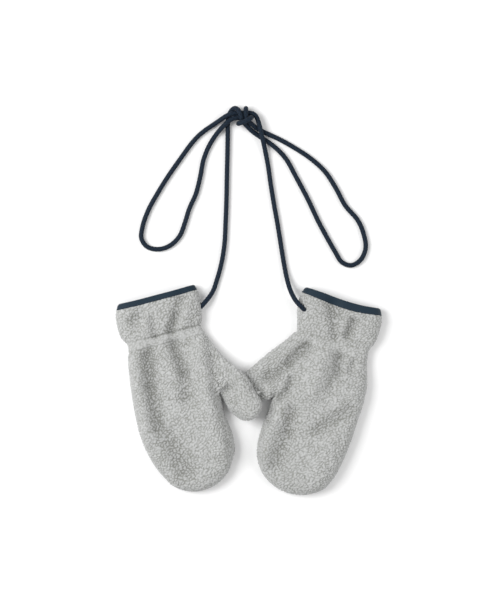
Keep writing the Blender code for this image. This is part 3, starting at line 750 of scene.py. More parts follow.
@dataclass
class BoaPile:
    """The curly pile of boa fleece: small soft curls that stand close together.

    Attributes:
        seed: Picks the pattern.
        lean_deg: How far the knit's rows, along which the curls are longer, lean up the hand.
        stretch: How much longer a curl is along its row than across it.
        apart: The least distance between the middles of two curls of neighbouring rows.
        gap_width: How far the crease between two curls reaches to each side.
        height: How high a curl stands over the deepest crease.
        sunk: How far the creases lie under the cloth's nominal face.
        weak_share: Share of the creases that are so shallow that two curls run together.
    """

    seed: int
    lean_deg: float
    stretch: float = 1.5
    apart: float = 1.72
    gap_width: float = 0.55
    height: float = 1.15
    sunk: float = 0.75
    weak_share: float = 0.15

    # How many curls round a point can bound it
    NEIGHBOURS = 6
    # Wavelength and reach of the two ripples that bend the creases, and their seeds' numbers
    CREASE_BENDS = ((3.4, 0.36, (2, 3, 4)), (1.7, 0.24, (5, 6, 7)))
    # Depth of a crease between two curls that run together, and the least depth of the others
    WEAK_DEPTH = 0.2
    LEAST_DEPTH = 0.4
    # Share of its height that a curl loses towards its edge, the most that a low curl loses in
    # its middle and how far from its edge it does, and what a crease takes
    EDGE_LOSS = 0.42
    LOW_LOSS = 0.1
    LOW_FROM = 0.5
    CREASE_LOSS = 0.95
    # Scramble the numbers of two neighbouring curls into one chance for the crease between them
    SCRAMBLE = 311.7
    SCRAMBLE_AGAIN = 43758.5453

    def shortened(self, points: Array) -> Array:
        """Return points with the knit's rows shortened, so that long curls become round."""
        lean = math.radians(self.lean_deg)
        row = np.array([-math.sin(lean), math.cos(lean), 0.0])
        return points - (1 - 1 / self.stretch) * (points @ row)[:, None] * row

    def curls(self, points: Array) -> Array:
        """Choose where the curls stand.

        Args:
            points: The net's points on the smooth form.

        Returns:
            The middles of the curls, no two closer than the least distance.
        """
        random = np.random.default_rng(self.seed)
        order = random.permutation(len(points))
        keys = np.floor(points / self.apart).astype(int)
        cells: dict[tuple[int, int, int], list[int]] = {}
        around = [(i, j, k) for i in (-1, 0, 1) for j in (-1, 0, 1) for k in (-1, 0, 1)]
        chosen = []
        for number in order:
            i, j, k = keys[number]
            near = [cells[c] for c in ((i + a, j + b, k + d) for a, b, d in around) if c in cells]
            others = [other for cell in near for other in cell]
            if others:
                gap = points[others] - points[number]
                if (gap * gap).sum(1).min() < self.apart**2:
                    continue
            cells.setdefault((i, j, k), []).append(number)
            chosen.append(number)
        return points[chosen]

    def relief(self, points: Array) -> tuple[Array, Array]:
        """Work out the pile's height at each point.

        Args:
            points: The net's points on the smooth form.

        Returns:
            The height, from 0 in a crease to 1 on a curl, and how near a crease is, from 0 to 1.
        """
        random = np.random.default_rng(self.seed + 1)
        bent = points
        for wavelength, reach, seeds in self.CREASE_BENDS:
            ways = [SoftRipple(wavelength, self.seed + number).at(points) for number in seeds]
            bent = bent + reach * np.column_stack(ways)
        middles = self.curls(self.shortened(points))
        warped = self.shortened(bent)
        tree = KDTree(len(middles))
        for number, middle in enumerate(middles):
            tree.insert(middle, number)
        tree.balance()
        found = [tree.find_n(point, self.NEIGHBOURS) for point in warped]
        near = np.array([[item[1] for item in row] for row in found])
        away = np.array([[item[2] for item in row] for row in found])
        own = random.uniform(0.0, 1.0, len(middles))
        key = own[near[:, :1]] * self.SCRAMBLE + own[near[:, 1:]] * self.SCRAMBLE
        key = np.sin(key) * self.SCRAMBLE_AGAIN
        chance = key - np.floor(key)
        full = self.LEAST_DEPTH + (1 - self.LEAST_DEPTH) * chance
        depth = np.where(chance < self.weak_share, self.WEAK_DEPTH, full)
        between = np.linalg.norm(middles[near[:, 1:]] - middles[near[:, :1]], axis=2)
        to_edge = (away[:, 1:] ** 2 - away[:, :1] ** 2) / (2 * between)
        crease = (depth * np.exp(-((to_edge / self.gap_width) ** 2))).max(1)
        dome = 1 - self.EDGE_LOSS * (away[:, 0] / self.apart) ** 2
        fade = 1 - np.exp(-((to_edge.min(1) / self.LOW_FROM) ** 2))
        tall = 1 - self.LOW_LOSS * own[near[:, 0]] * fade
        return np.clip(dome * tall - crease * self.CREASE_LOSS, 0.0, 1.0), crease


def srgb_to_linear(colour: str) -> tuple[float, float, float, float]:
    """Return an sRGB hex colour as linear RGBA."""
    values = [int(colour[i : i + 2], 16) / 255 for i in (1, 3, 5)]
    linear = [v / 12.92 if v <= 0.04045 else ((v + 0.055) / 1.055) ** 2.4 for v in values]
    return (*linear, 1.0)


def add_node(
    material: bpy.types.Material,
    kind: str,
    settings: dict[str, object] | None = None,
    inputs: dict[str, object] | None = None,
) -> bpy.types.Node:
    """Add a node with its settings and links.

    Args:
        material: The material that gets it.
        kind: The node's type name.
        settings: Properties of the node.
        inputs: For each input, a plain value or another node's output.

    Returns:
        The new node.
    """
    tree = material.node_tree
    node = tree.nodes.new(kind)
    for name, value in (settings or {}).items():
        setattr(node, name, value)
    for name, value in (inputs or {}).items():
        socket = node.inputs[int(name)] if name.isdigit() else node.inputs[name]
        if isinstance(value, bpy.types.NodeSocket):
            tree.links.new(value, socket)
        else:
            socket.default_value = value
    return node


def new_material(name: str) -> tuple[bpy.types.Material, bpy.types.Node]:
    """Return a new node material and its shader."""
    material = bpy.data.materials.new(name)
    material.use_nodes = True
    return material, material.node_tree.nodes["Principled BSDF"]


def set_ramp(ramp: bpy.types.Node, stops: list[tuple[float, str]]) -> None:
    """Give a colour ramp its stops.

    Args:
        ramp: The colour ramp node.
        stops: Position and sRGB hex colour of each stop, two at least.
    """
    elements = ramp.color_ramp.elements
    while len(elements) < len(stops):
        elements.new(0.5)
    for element, (position, colour) in zip(elements, stops):
        element.position = position
        element.color = srgb_to_linear(colour)


@dataclass(frozen=True)
class BoaFleeceFinish:
    """Polyester boa fleece, knitted and sheared into small curls.

    The pile scatters light, so it looks matt and soft. Its colour is painted pale on the curls and
    grey on their sides and in the gaps, as painted shade by the pile's height, and painted shade
    darkens it further in the folds.

    Attributes:
        curl: Colour on top of the curls, where the painted shade is lightest.
        shade: Colour on their sides, painted shade.
        gap: Colour in the gaps between them, painted shade.
        fibre_mm: Width of a tuft of fibres, since a single one is too fine to show.
        fibre_share: How much the tufts change the colour.
        mottle_mm: Size of the slightly paler and darker patches.
        fold_shade_loss: Share of the colour that the painted shade takes off in the deepest folds.
    """

    curl: str = "#BCBDBC"
    shade: str = "#B1B2B1"
    gap: str = "#8E8F8A"
    fibre_mm: float = 0.35
    fibre_share: float = 0.2
    mottle_mm: float = 9.0
    fold_shade_loss: float = 0.24

    def material(self) -> bpy.types.Material:
        """Return the fleece's material."""
        material, shader = new_material("boa_fleece_light_grey")
        place = add_node(material, "ShaderNodeTexCoord").outputs["Object"]
        # Painted shade by the pile's height: pale on the curls, grey in the gaps
        relief = add_node(material, "ShaderNodeAttribute", {"attribute_name": "pile"})
        # Painted shade in the folds, from the mesh's values
        fold_shade = add_node(material, "ShaderNodeAttribute", {"attribute_name": "fold_shade"})
        mottle = add_node(
            material,
            "ShaderNodeTexNoise",
            {},
            {"Vector": place, "Scale": 1 / (self.mottle_mm * MM), "Detail": 2.0},
        )
        fibre = add_node(
            material,
            "ShaderNodeTexNoise",
            {},
            {"Vector": place, "Scale": 1 / (self.fibre_mm * MM), "Detail": 3.0, "Roughness": 0.7},
        )
        mixed = add_node(
            material,
            "ShaderNodeMath",
            {"operation": "MULTIPLY_ADD"},
            {"0": fibre.outputs["Fac"], "1": self.fibre_share, "2": relief.outputs["Fac"]},
        )
        ramp = add_node(material, "ShaderNodeValToRGB", {}, {"Fac": mixed.outputs[0]})
        set_ramp(ramp, [(0.2, self.gap), (0.65, self.shade), (1.0, self.curl)])
        span = {"From Min": 0.3, "From Max": 0.7, "To Min": 0.98, "To Max": 1.02}
        tone = add_node(
            material, "ShaderNodeMapRange", {}, {"Value": mottle.outputs["Fac"], **span}
        )
        # The folds' painted shade takes its share off the colour
        lit = add_node(
            material,
            "ShaderNodeMath",
            {"operation": "MULTIPLY_ADD"},
            {"0": fold_shade.outputs["Fac"], "1": -self.fold_shade_loss, "2": tone.outputs["Result"]},
        )
        tinted = add_node(
            material,
            "ShaderNodeVectorMath",
            {"operation": "SCALE"},
            {"0": ramp.outputs["Color"], "Scale": lit.outputs[0]},
        )
        bump = add_node(
            material,
            "ShaderNodeBump",
            {},
            {"Height": fibre.outputs["Fac"], "Strength": 0.5, "Distance": 0.2 * MM},
        )
        links = material.node_tree.links
        links.new(tinted.outputs[0], shader.inputs["Base Color"])
        links.new(bump.outputs["Normal"], shader.inputs["Normal"])
        shader.inputs["Roughness"].default_value = 0.95
        shader.inputs["Specular IOR Level"].default_value = 0.2
        shader.inputs["Sheen Weight"].default_value = 0.5
        shader.inputs["Sheen Roughness"].default_value = 0.5
        return material


@dataclass(frozen=True)
class YarnFinish:
    """Dyed polyester yarn, woven or braided, matt: its colour is painted lighter on the crowns and
    darker in the gaps, as painted highlight and shade, and on a twill it also has its own lines.

    Attributes:
        name: The material's name.
        relief: Name of the mesh's values that are 1 on a crown and 0 in a gap.
        high: Colour on the crowns, a painted highlight.
        low: Colour in the gaps, painted shade.
        low_until: Relief up to which the colour is that of the gaps.
        thread_mm: Width of one thread.
        thread_share: How much single threads change the colour.
        specular: How much the threads reflect.
        sheen: How much their fine fibres glow at the rim.
    """

    name: str
    relief: str
    high: str
    low: str
    low_until: float
    thread_mm: float
    thread_share: float
    specular: float
    sheen: float

    def material(self) -> bpy.types.Material:
        """Return the yarn's material."""
        material, shader = new_material(self.name)
        place = add_node(material, "ShaderNodeTexCoord").outputs["Object"]
        relief = add_node(material, "ShaderNodeAttribute", {"attribute_name": self.relief})
        thread = add_node(
            material,
            "ShaderNodeTexNoise",
            {},
            {"Vector": place, "Scale": 1 / (self.thread_mm * MM), "Detail": 2.0},
        )
        mixed = add_node(
            material,
            "ShaderNodeMath",
            {"operation": "MULTIPLY_ADD"},
            {"0": thread.outputs["Fac"], "1": self.thread_share, "2": relief.outputs["Fac"]},
        )
        ramp = add_node(material, "ShaderNodeValToRGB", {}, {"Fac": mixed.outputs[0]})
        # Painted highlight on the crowns and painted shade in the gaps
        set_ramp(ramp, [(self.low_until, self.low), (1.0, self.high)])
        bump = add_node(
            material,
            "ShaderNodeBump",
            {},
            {"Height": thread.outputs["Fac"], "Strength": 0.3, "Distance": 0.1 * MM},
        )
        links = material.node_tree.links
        links.new(ramp.outputs["Color"], shader.inputs["Base Color"])
        links.new(bump.outputs["Normal"], shader.inputs["Normal"])
        shader.inputs["Roughness"].default_value = 0.7
        shader.inputs["Specular IOR Level"].default_value = self.specular
        shader.inputs["Sheen Weight"].default_value = self.sheen
        return material


# Polyester binding tape, woven in a fine twill and dyed navy: the twill gives faint slanted lines
# and a dull satin face, a little lighter than the cord; the lines' dark gaps are partly the twill's
# own pattern and partly painted shade
TAPE_FINISH = YarnFinish(
    name="binding_tape_navy_twill",
    relief="weave",
    high="#152E3E",
    low="#071721",
    low_until=0.25,
    thread_mm=0.4,
    thread_share=0.4,
    specular=0.3,
    sheen=0.08,
)

# Polyester cord, braided round a core and dyed navy: a painted highlight lies along each strand's
# crown and painted shade makes the gaps between them nearly black
CORD_FINISH = YarnFinish(
    name="braided_cord_navy",
    relief="braid",
    high="#122232",
    low="#04070C",
    low_until=0.1,
    thread_mm=0.3,
    thread_share=0.3,
    specular=0.2,
    sheen=0.04,
)


@dataclass(frozen=True)
class ThreadFinish:
    """Spun polyester sewing thread, twisted, with a soft dull shine.

    Attributes:
        name: The material's name.
        high: Colour on the thread's crown, a painted highlight.
        low: Colour between its twists, painted shade.
        twist_mm: Width of one twist.
    """

    name: str
    high: str
    low: str
    twist_mm: float = 0.25

    def material(self) -> bpy.types.Material:
        """Return the thread's material."""
        material, shader = new_material(self.name)
        place = add_node(material, "ShaderNodeTexCoord").outputs["Object"]
        twist = add_node(
            material,
            "ShaderNodeTexNoise",
            {},
            {"Vector": place, "Scale": 1 / (self.twist_mm * MM), "Detail": 1.0},
        )
        ramp = add_node(material, "ShaderNodeValToRGB", {}, {"Fac": twist.outputs["Fac"]})
        # Painted highlight and shade, laid out by the noise
        set_ramp(ramp, [(0.35, self.low), (0.65, self.high)])
        material.node_tree.links.new(ramp.outputs["Color"], shader.inputs["Base Color"])
        shader.inputs["Roughness"].default_value = 0.55
        return material


@dataclass(frozen=True)
class TableFinish:
    """Matt white laminate sheet, pressed smooth, which gives soft shadows and no gloss.

    Attributes:
        tone: The laminate's colour.
        grain_mm: Width of its barely raised grain.
    """

    tone: str = "#FAFAFA"
    grain_mm: float = 2.5

    def material(self) -> bpy.types.Material:
        """Return the table's material."""
        material, shader = new_material("white_laminate_matt")
        place = add_node(material, "ShaderNodeTexCoord").outputs["Object"]
        grain = add_node(
            material,
            "ShaderNodeTexNoise",
            {},
            {"Vector": place, "Scale": 1 / (self.grain_mm * MM), "Detail": 2.0},
        )
        bump = add_node(
            material,
            "ShaderNodeBump",
            {},
            {"Height": grain.outputs["Fac"], "Strength": 0.02, "Distance": 0.1 * MM},
        )
        material.node_tree.links.new(bump.outputs["Normal"], shader.inputs["Normal"])
        shader.inputs["Base Color"].default_value = srgb_to_linear(self.tone)
        shader.inputs["Roughness"].default_value = 0.9
        shader.inputs["Specular IOR Level"].default_value = 0.1
        return material


def add_piece(
    name: str,
    points: Array,
    faces: list,
    material: bpy.types.Material,
    attributes: dict[str, Array] | None = None,
) -> bpy.types.Object:
    """Add a smooth mesh piece to the scene.

    Args:
        name: The piece's name.
        points: Its points in metres.
        faces: Corner numbers of each face.
        material: Its finish.
        attributes: Named values, one for each point, that the finish reads.

    Returns:
        The new object.
    """
    mesh = bpy.data.meshes.new(name)
    mesh.from_pydata(points, [], faces)
    mesh.polygons.foreach_set("use_smooth", [True] * len(mesh.polygons))
    for label, values in (attributes or {}).items():
        layer = mesh.attributes.new(label, "FLOAT", "POINT")
        layer.data.foreach_set("value", np.asarray(values, np.float32))
    mesh.materials.append(material)
    mesh.update()
    piece = bpy.data.objects.new(name, mesh)
    bpy.context.scene.collection.objects.link(piece)
    return piece


def attach(piece: bpy.types.Object, node: str | None = None) -> None:
    """Let a piece ride on the part, log its faces and hide the node it stands for.

    Args:
        piece: The piece.
        node: The part's node that it stands for, if it stands for one.
    """
    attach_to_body(piece, "root")
    if node is not None:
        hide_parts(node)
    LOG.info("%s: %d faces", piece.name, len(piece.data.polygons))


@dataclass
class FleecePanel:
    """One panel of a mitten: a wall of boa fleece with its pile standing out of it.

    Attributes:
        form: The mitten.
        face: Which panel it is.
        spacing: The distance between neighbouring points of its net.
        seed: Picks the pile's pattern.
        wall: The fleece's thickness.
        pressed: The fleece's thickness inside the binding.
        seam_gap: The gap between the two panels at the seam.
        tape: The binding tape's thickness.
        gap: The air between the tape and the fleece.
    """

    form: MittenForm
    face: Face
    spacing: float
    seed: int
    wall: float = 3.0
    pressed: float = PRESSED_FLEECE
    seam_gap: float = 0.3
    tape: float = TAPE_THICKNESS
    gap: float = TAPE_GAP

    # Half the width of the elastic's band, how far inside it its soft edge starts and how wide
    # that is, and the share of the pile's height that the band takes
    BAND_HALF_WIDTH = 4.2
    BAND_MARGIN = 0.6
    BAND_EDGE = 1.4
    BAND_PRESS = 0.45
    # Depth and half width of the grooves that the elastic's stitches draw in
    STITCH_GROOVE = 2.0
    GROOVE_HALF_WIDTH = 0.8
    # Share of that depth: the upper row's rises from a little at the outer side, from one place
    # across the hand and over a run, and the lower row's is even
    UPPER_SHARE = 0.2
    UPPER_FROM = -30.0
    UPPER_RISE = 20.0
    LOWER_SHARE = 0.45
    # Wavelength and height of the pile's slow unevenness
    CLUMP_LENGTH = 7.0
    CLUMP_HEIGHT = 0.04
    # Wavelength, reach and seed of the pile's ragged edge along the tape, how far under the tape
    # the pile starts to rise, and over what length it does
    RAGGED_LENGTH = 2.6
    RAGGED_REACH = 0.35
    RAGGED_SEED = 9
    TAPE_MARGIN = 0.3
    TAPE_EDGE = 0.7
    # The pile's mean painted shade, its value inside the wall, and the painted shade that grooves and
    # folds take off it
    LEVEL_SHADE = 0.66
    INNER_SHADE = 0.5
    PAINTED_GROOVE_SHADE = 0.16
    PAINTED_FOLD_SHADE = 0.12
    # Contrast of the painted shade between curls and gaps: on plain cloth, what a fold's painted
    # shade adds, and what is left where the elastic presses the pile flat
    LOOSE_CONTRAST = 0.86
    FOLD_SHADE_CONTRAST = 0.6
    FLAT_CONTRAST = 0.4

    def flatten(self, points: Array) -> Array:
        """Return how much of its height the pile keeps: less on the stitched elastic band."""
        away = np.abs(points[:, 0] - self.form.elastic_along)
        band = 1 - smoothstep((away - self.BAND_HALF_WIDTH + self.BAND_MARGIN) / self.BAND_EDGE)
        return 1 - self.BAND_PRESS * self.form.elastic_grip * band

    def groove(self, points: Array) -> Array:
        """Return how deep the two rows of stitches draw the cloth in."""
        past = points[:, 0] - self.form.elastic_along
        away = np.abs(np.abs(past) - self.BAND_HALF_WIDTH)
        rise = smoothstep((points[:, 1] - self.UPPER_FROM) / self.UPPER_RISE)
        upper = self.UPPER_SHARE + (1 - self.UPPER_SHARE) * rise
        share = np.where(past < 0, upper, self.LOWER_SHARE)
        depth = self.STITCH_GROOVE * self.form.elastic_grip * share
        return depth * np.exp(-((away / self.GROOVE_HALF_WIDTH) ** 2))

    def mesh(self, fleece: bpy.types.Material) -> bpy.types.Object:
        """Build the panel as a closed wall.

        Args:
            fleece: The fleece's material.

        Returns:
            The panel's object.
        """
        form = self.form
        grid = PanelGrid(form, self.face, self.spacing)
        nominal, outward, distance = form.surface(grid.places, grid.over)
        pile = BoaPile(self.seed, form.row_lean_deg)
        relief, crease = pile.relief(nominal)
        clumps = SoftRipple(self.CLUMP_LENGTH, self.seed).at(nominal)
        border = np.unique(np.concatenate(grid.border()[:-1]))
        nominal[border] += self._rim_shift(outward[border])
        mouth = grid.mouth()
        outward[mouth, 0] = 0.0
        outward[mouth] = unit(outward[mouth])
        in_tape = self._in_tape(grid.places, nominal)
        stand = pile.height * relief - pile.sunk + self.CLUMP_HEIGHT * clumps
        stand = stand * self.flatten(nominal) - self.groove(nominal)
        recess = self.gap + self.tape + TAPE_DEPTH
        depth = stand * (1 - in_tape) - recess * in_tape
        outer = nominal + depth[:, None] * outward
        inner_depth = self.wall + (recess + self.pressed - self.wall) * in_tape
        inner = nominal - inner_depth[:, None] * outward
        bend = form.cuff_bend(grid.places)
        outer[:, 0] += bend
        inner[:, 0] += bend
        faces, used = self._shell(grid)
        points = form.placed(np.vstack([outer, inner[used]]))
        # Painted shade in the folds, on the top panel only
        pressed = form.painted_fold_shade(grid.places, distance) * (self.face is Face.TOP)
        # Painted shade: pale on the curls, grey in the gaps, darker in the folds and grooves
        shade = self._shade((relief + 1 - crease) / 2, pressed, nominal)
        values = {
            "pile": np.concatenate([shade, np.full(len(used), self.INNER_SHADE)]),
            "fold_shade": np.concatenate([pressed, np.zeros(len(used))]),
        }
        return add_piece(f"{form.name}_{self.face.value}_fleece", points, faces, fleece, values)

    def _in_tape(self, places: Array, points: Array) -> Array:
        """Return how far the pile lies down under the tape, from 0 to 1.

        Args:
            places: The net's places seen from above.
            points: Its points on the smooth form.

        Returns:
            One share for each point.
        """
        ripple = SoftRipple(self.RAGGED_LENGTH, self.seed + self.RAGGED_SEED)
        ragged = self.RAGGED_REACH * ripple.at(points)
        past_tape = places[:, 0] - self.form.tape_end(places[:, 1]) - ragged
        return 1 - smoothstep((past_tape + self.TAPE_MARGIN) / self.TAPE_EDGE)

    def _shade(self, height_shade: Array, pressed: Array, points: Array) -> Array:
        """Return the pile's painted shade, from 0 in a gap to 1 on a curl, darker in folds and
        grooves.

        Args:
            height_shade: The painted shade by the pile's height alone, as on a plain stretch of the
                cloth.
            pressed: How much painted shade the folds get, from 0 to 1.
            points: The net's points on the smooth form.

        Returns:
            One shade for each point.
        """
        flat = self.FLAT_CONTRAST + (1 - self.FLAT_CONTRAST) * self.flatten(points)
        contrast = (self.LOOSE_CONTRAST + self.FOLD_SHADE_CONTRAST * pressed) * flat
        shade = self.LEVEL_SHADE + (height_shade - self.LEVEL_SHADE) * contrast
        # Painted shade in the folds and in the elastic's stitched grooves
        shade = shade - self.PAINTED_FOLD_SHADE * pressed - self.PAINTED_GROOVE_SHADE * self.groove(points)
        return np.clip(shade, 0.0, 1.0)

    def _rim_shift(self, outward: Array) -> Array:
        """Return how the seam's points move so that the two panels keep their gap."""
        flat = np.linalg.norm(outward[:, :2], axis=1)
        shift = np.zeros_like(outward)
        shift[:, 2] = flat
        shift[:, :2] = -outward[:, :2] / np.maximum(flat, TINY)[:, None] * outward[:, 2:3]
        return shift * (self.seam_gap / 2 if self.face is Face.TOP else -self.seam_gap / 2)

    def _shell(self, grid: PanelGrid) -> tuple[list, Array]:
        """Join the fine outer face to the coarse inner one.

        Args:
            grid: The panel's net.

        Returns:
            The faces, and the numbers of the points that the inner wall uses.
        """
        outer = grid.quads(1)
        inner = grid.quads(grid.coarse)
        used = np.unique(inner)
        count = len(grid.places)
        renumber = np.full(count, -1)
        renumber[used] = count + np.arange(len(used))
        flip = (self.face is Face.TOP) == (self.form.mirror == 1)
        if flip:
            inner = inner[:, ::-1]
        else:
            outer = outer[:, ::-1]
        faces = outer.tolist() + renumber[inner].tolist()
        for line in grid.border():
            for start in range(0, len(line) - 1, grid.coarse):
                part = line[start : start + grid.coarse + 1]
                ends = renumber[[part[-1], part[0]]]
                rim = [*part.tolist(), *ends.tolist()]
                faces.append(rim if not flip else rim[::-1])
        return faces, used


@dataclass
class CuffBinding:
    """Binding tape folded over the cuff edge and sewn down.

    Attributes:
        form: The mitten.
        tape: The tape's thickness.
        gap: The air between the tape and the fleece.
        pressed: The fleece's thickness inside the tape.
        steps: How many steps go round the cuff.
        wale: Distance between the twill's slanted lines.
        relief: Height of those lines.
    """

    form: MittenForm
    tape: float = TAPE_THICKNESS
    gap: float = TAPE_GAP
    pressed: float = PRESSED_FLEECE
    steps: int = 520
    wale: float = 1.1
    relief: float = 0.06

    # How far down the hand the cloth's slope at the cuff edge is taken
    SLOPE_RUN = 3.7
    # Radii of the fold over the edge, outside and inside
    BOW = 1.3
    HOLLOW = 0.5
    # How far the twill's lines lean as they cross the tape, from 0 for square to its edge
    TWILL_SLANT = 0.8
    # Height and wavelength of the tape's puckers, and the seed that picks them
    PUCKER = 0.06
    PUCKER_LENGTH = 9.0
    PUCKER_SEED = 5

    def ring(self, along: float) -> tuple[Array, Array]:
        """Return the smooth form's points and directions round the cuff.

        Args:
            along: Where the ring lies, from the raw edge.

        Returns:
            The points and the directions out of the cloth, evenly spaced.
        """
        form = self.form
        angles = np.linspace(0, np.pi / 2, 50)
        outer = float(form.hand_edge("outer", along))
        width = float(form.hand_edge("thumb_side", along)) - outer
        over = form.hand_rounding * (1 - np.cos(angles))
        under = form.under_rounding * (1 - np.cos(angles))
        middle = np.linspace(form.hand_rounding, width - form.hand_rounding, 80)[1:-1]
        wide = np.linspace(form.under_rounding, width - form.under_rounding, 80)[1:-1]
        top = np.concatenate([over, middle, (width - over)[::-1]])
        back = np.concatenate([under, wide, (width - under)[::-1]])[::-1][1:-1]
        across = outer + np.concatenate([top, back])
        flags = np.concatenate([np.full(len(top), True), np.full(len(back), False)])
        places = np.column_stack([np.full(len(across), along), across])
        points, outward, _ = form.surface(places, flags)
        outward[:, 0] = 0.0
        outward = unit(outward)
        closed = np.vstack([points, points[:1]])
        ways = np.vstack([outward, outward[:1]])
        run = run_along(closed)
        marks = np.linspace(0.0, run[-1], self.steps, endpoint=False)
        return points_at(marks, run, closed), unit(points_at(marks, run, ways))

    def edge(self) -> tuple[Array, Array, Array]:
        """Return points round the cuff edge, the directions out and the cloth's slope there."""
        base, outward = self.ring(0.0)
        far, _ = self.ring(self.SLOPE_RUN)
        return base, outward, (far - base) / self.SLOPE_RUN

    def section(self, end: float) -> list[tuple[float, float]]:
        """Return the tape's section as depth under the fleece's face and place along.

        Args:
            end: How far along the hand the tape reaches.

        Returns:
            The section's corners, in order.
        """
        inside = TAPE_DEPTH + self.tape + self.gap + self.pressed + self.gap
        deepest = inside + self.tape
        fold = self.BOW - self.gap - self.tape
        rim = self.HOLLOW - self.gap
        middle = (TAPE_DEPTH + deepest) / 2
        half = (deepest - TAPE_DEPTH) / 2
        angles = np.linspace(0, np.pi, 11)
        outer_face = [(TAPE_DEPTH, place) for place in np.linspace(end, fold, 9)]
        bow = [(middle - half * math.cos(a), fold - self.BOW * math.sin(a)) for a in angles[1:-1]]
        inner_face = [(deepest, place) for place in np.linspace(fold, end, 5)]
        half -= self.tape
        hollow = [(middle + half * math.cos(a), rim - self.HOLLOW * math.sin(a)) for a in angles[::2]]
        back = [(inside, end), *hollow, (TAPE_DEPTH + self.tape, end)]
        return outer_face + bow + inner_face + back

    def mesh(self, tape: bpy.types.Material) -> bpy.types.Object:
        """Build the binding all round the cuff.

        Args:
            tape: The tape's material.

        Returns:
            The binding's object.
        """
        base, outward, slope = self.edge()
        run = run_along(np.vstack([base, base[:1]]))
        turns = round(run[-1] / self.wale) * run[:-1] / run[-1]
        pucker = self.PUCKER * SoftRipple(self.PUCKER_LENGTH, self.PUCKER_SEED).at(base)
        ends = self.form.tape_end(base[:, 1])
        least = self.section(float(ends.min()))
        most = self.section(float(ends.max()))
        share = (ends - ends.min()) / max(float(np.ptp(ends)), TINY)
        rings, weave = [], []
        for (depth, low), (_, high) in zip(least, most):
            along = low + (high - low) * share
            wave = 0.5 + 0.5 * np.cos(2 * np.pi * (turns + along / self.wale * self.TWILL_SLANT))
            raised = self.relief * wave + pucker if depth <= TAPE_DEPTH else np.zeros_like(wave)
            ring = base + slope * along[:, None] - (depth - raised)[:, None] * outward
            ring[:, 0] += self.form.cuff_bend(ring)
            rings.append(ring)
            weave.append(wave)
        count = len(rings)
        numbers = np.arange(count * self.steps).reshape(count, self.steps)
        ahead = np.roll(numbers, -1, axis=1)
        below = np.roll(numbers, -1, axis=0)
        cells = np.stack([numbers, ahead, np.roll(below, -1, axis=1), below], axis=-1)
        faces = cells.reshape(-1, 4)
        if self.form.mirror == -1:
            faces = faces[:, ::-1]
        points = self.form.placed(np.vstack(rings))
        name = f"{self.form.name}_cuff_tape"
        return add_piece(name, points, faces.tolist(), tape, {"weave": np.concatenate(weave)})


@dataclass
class StitchLine:
    """A row of machine stitches: short threads that dip into the cloth at both ends.

    Attributes:
        path: Points along the row, on the cloth.
        outward: The directions out of the cloth there.
        length: Length of one stitch.
        gap: Distance between two stitches.
        radius: The thread's radius.
        proud: How high the middle of a stitch stands over the path.
    """

    path: Array
    outward: Array
    length: float = 2.4
    gap: float = 0.6
    radius: float = 0.2
    proud: float = 0.1

    # Points round a thread, and rings of points along a stitch
    SIDES = 6
    RINGS = 5
    # How deep a stitch's ends dive, in radii, and how thick they are against its middle
    DIVE = 1.6
    TAPER = 0.6

    def threads(self) -> tuple[Array, list]:
        """Return the points and faces of all the stitches in the row."""
        run = run_along(self.path)
        count = int((run[-1] - self.gap) // (self.length + self.gap))
        angle = np.linspace(0, 2 * np.pi, self.SIDES, endpoint=False)[:, None]
        arch = np.sin(np.linspace(0.0, np.pi, self.RINGS))
        rise = self.proud * arch - self.radius * self.DIVE * (1 - arch)
        radius = self.radius * (self.TAPER + (1 - self.TAPER) * arch)
        points, faces = [], []
        for number in range(count):
            start = self.gap + number * (self.length + self.gap)
            marks = start + np.linspace(0.0, self.length, self.RINGS)
            out = unit(points_at(marks, run, self.outward))
            centre = points_at(marks, run, self.path) + out * rise[:, None]
            heading = unit(np.gradient(centre, axis=0))
            side = unit(np.cross(heading, out))
            base = len(points) * self.SIDES
            for ring in range(self.RINGS):
                round_it = np.cos(angle) * side[ring] + np.sin(angle) * out[ring]
                points.append(centre[ring] + radius[ring] * round_it)
            for ring in range(self.RINGS - 1):
                for i in range(self.SIDES):
                    a = base + ring * self.SIDES + i
                    b = base + ring * self.SIDES + (i + 1) % self.SIDES
                    faces.append([a, b, b + self.SIDES, a + self.SIDES])
            faces.append([base + i for i in range(self.SIDES)][::-1])
            faces.append([base + (self.RINGS - 1) * self.SIDES + i for i in range(self.SIDES)])
        return np.vstack(points), faces


@dataclass
class ElasticStitching:
    """The two rows of stitches that hold the elastic behind the wrist, on both faces.

    Attributes:
        form: The mitten.
        half_width: Half the distance between the rows.
        sunk: How deep the pile's foot lies, where the thread shows.
        inset: How far from the side seams a row ends.
    """

    form: MittenForm
    half_width: float = FleecePanel.BAND_HALF_WIDTH
    sunk: float = 1.15
    inset: float = 2.5

    def mesh(self, thread: bpy.types.Material) -> bpy.types.Object:
        """Build every stitch of both rows.

        Args:
            thread: The thread's material.

        Returns:
            The stitching's object.
        """
        points, faces = [], []
        for row in (-1, 1):
            along = self.form.elastic_along + row * self.half_width
            for over in (True, False):
                path, outward = self._path(along, over)
                new, cells = StitchLine(path, outward).threads()
                base = sum(len(block) for block in points)
                points.append(new)
                faces += [[base + corner for corner in cell] for cell in cells]
        placed = self.form.placed(np.vstack(points))
        return add_piece(f"{self.form.name}_elastic_stitches", placed, faces, thread)

    def _path(self, along: float, over: bool) -> tuple[Array, Array]:
        """Return one row's path on one face and the directions out of the cloth."""
        outer = float(self.form.hand_edge("outer", along))
        far = self.form.thumb_edge(ThumbSide.FAR_FROM_FINGERS, np.linspace(0, 1, 200))
        inner = float(self.form.hand_edge("thumb_side", along))
        if along > self.form.wrist:
            inner = float(np.interp(along, far[:, 0], far[:, 1]))
        across = np.linspace(outer + self.inset, inner - self.inset, 160)
        places = np.column_stack([np.full(len(across), along), across])
        points, outward, _ = self.form.surface(places, np.full(len(across), over))
        return points - outward * self.sunk, outward


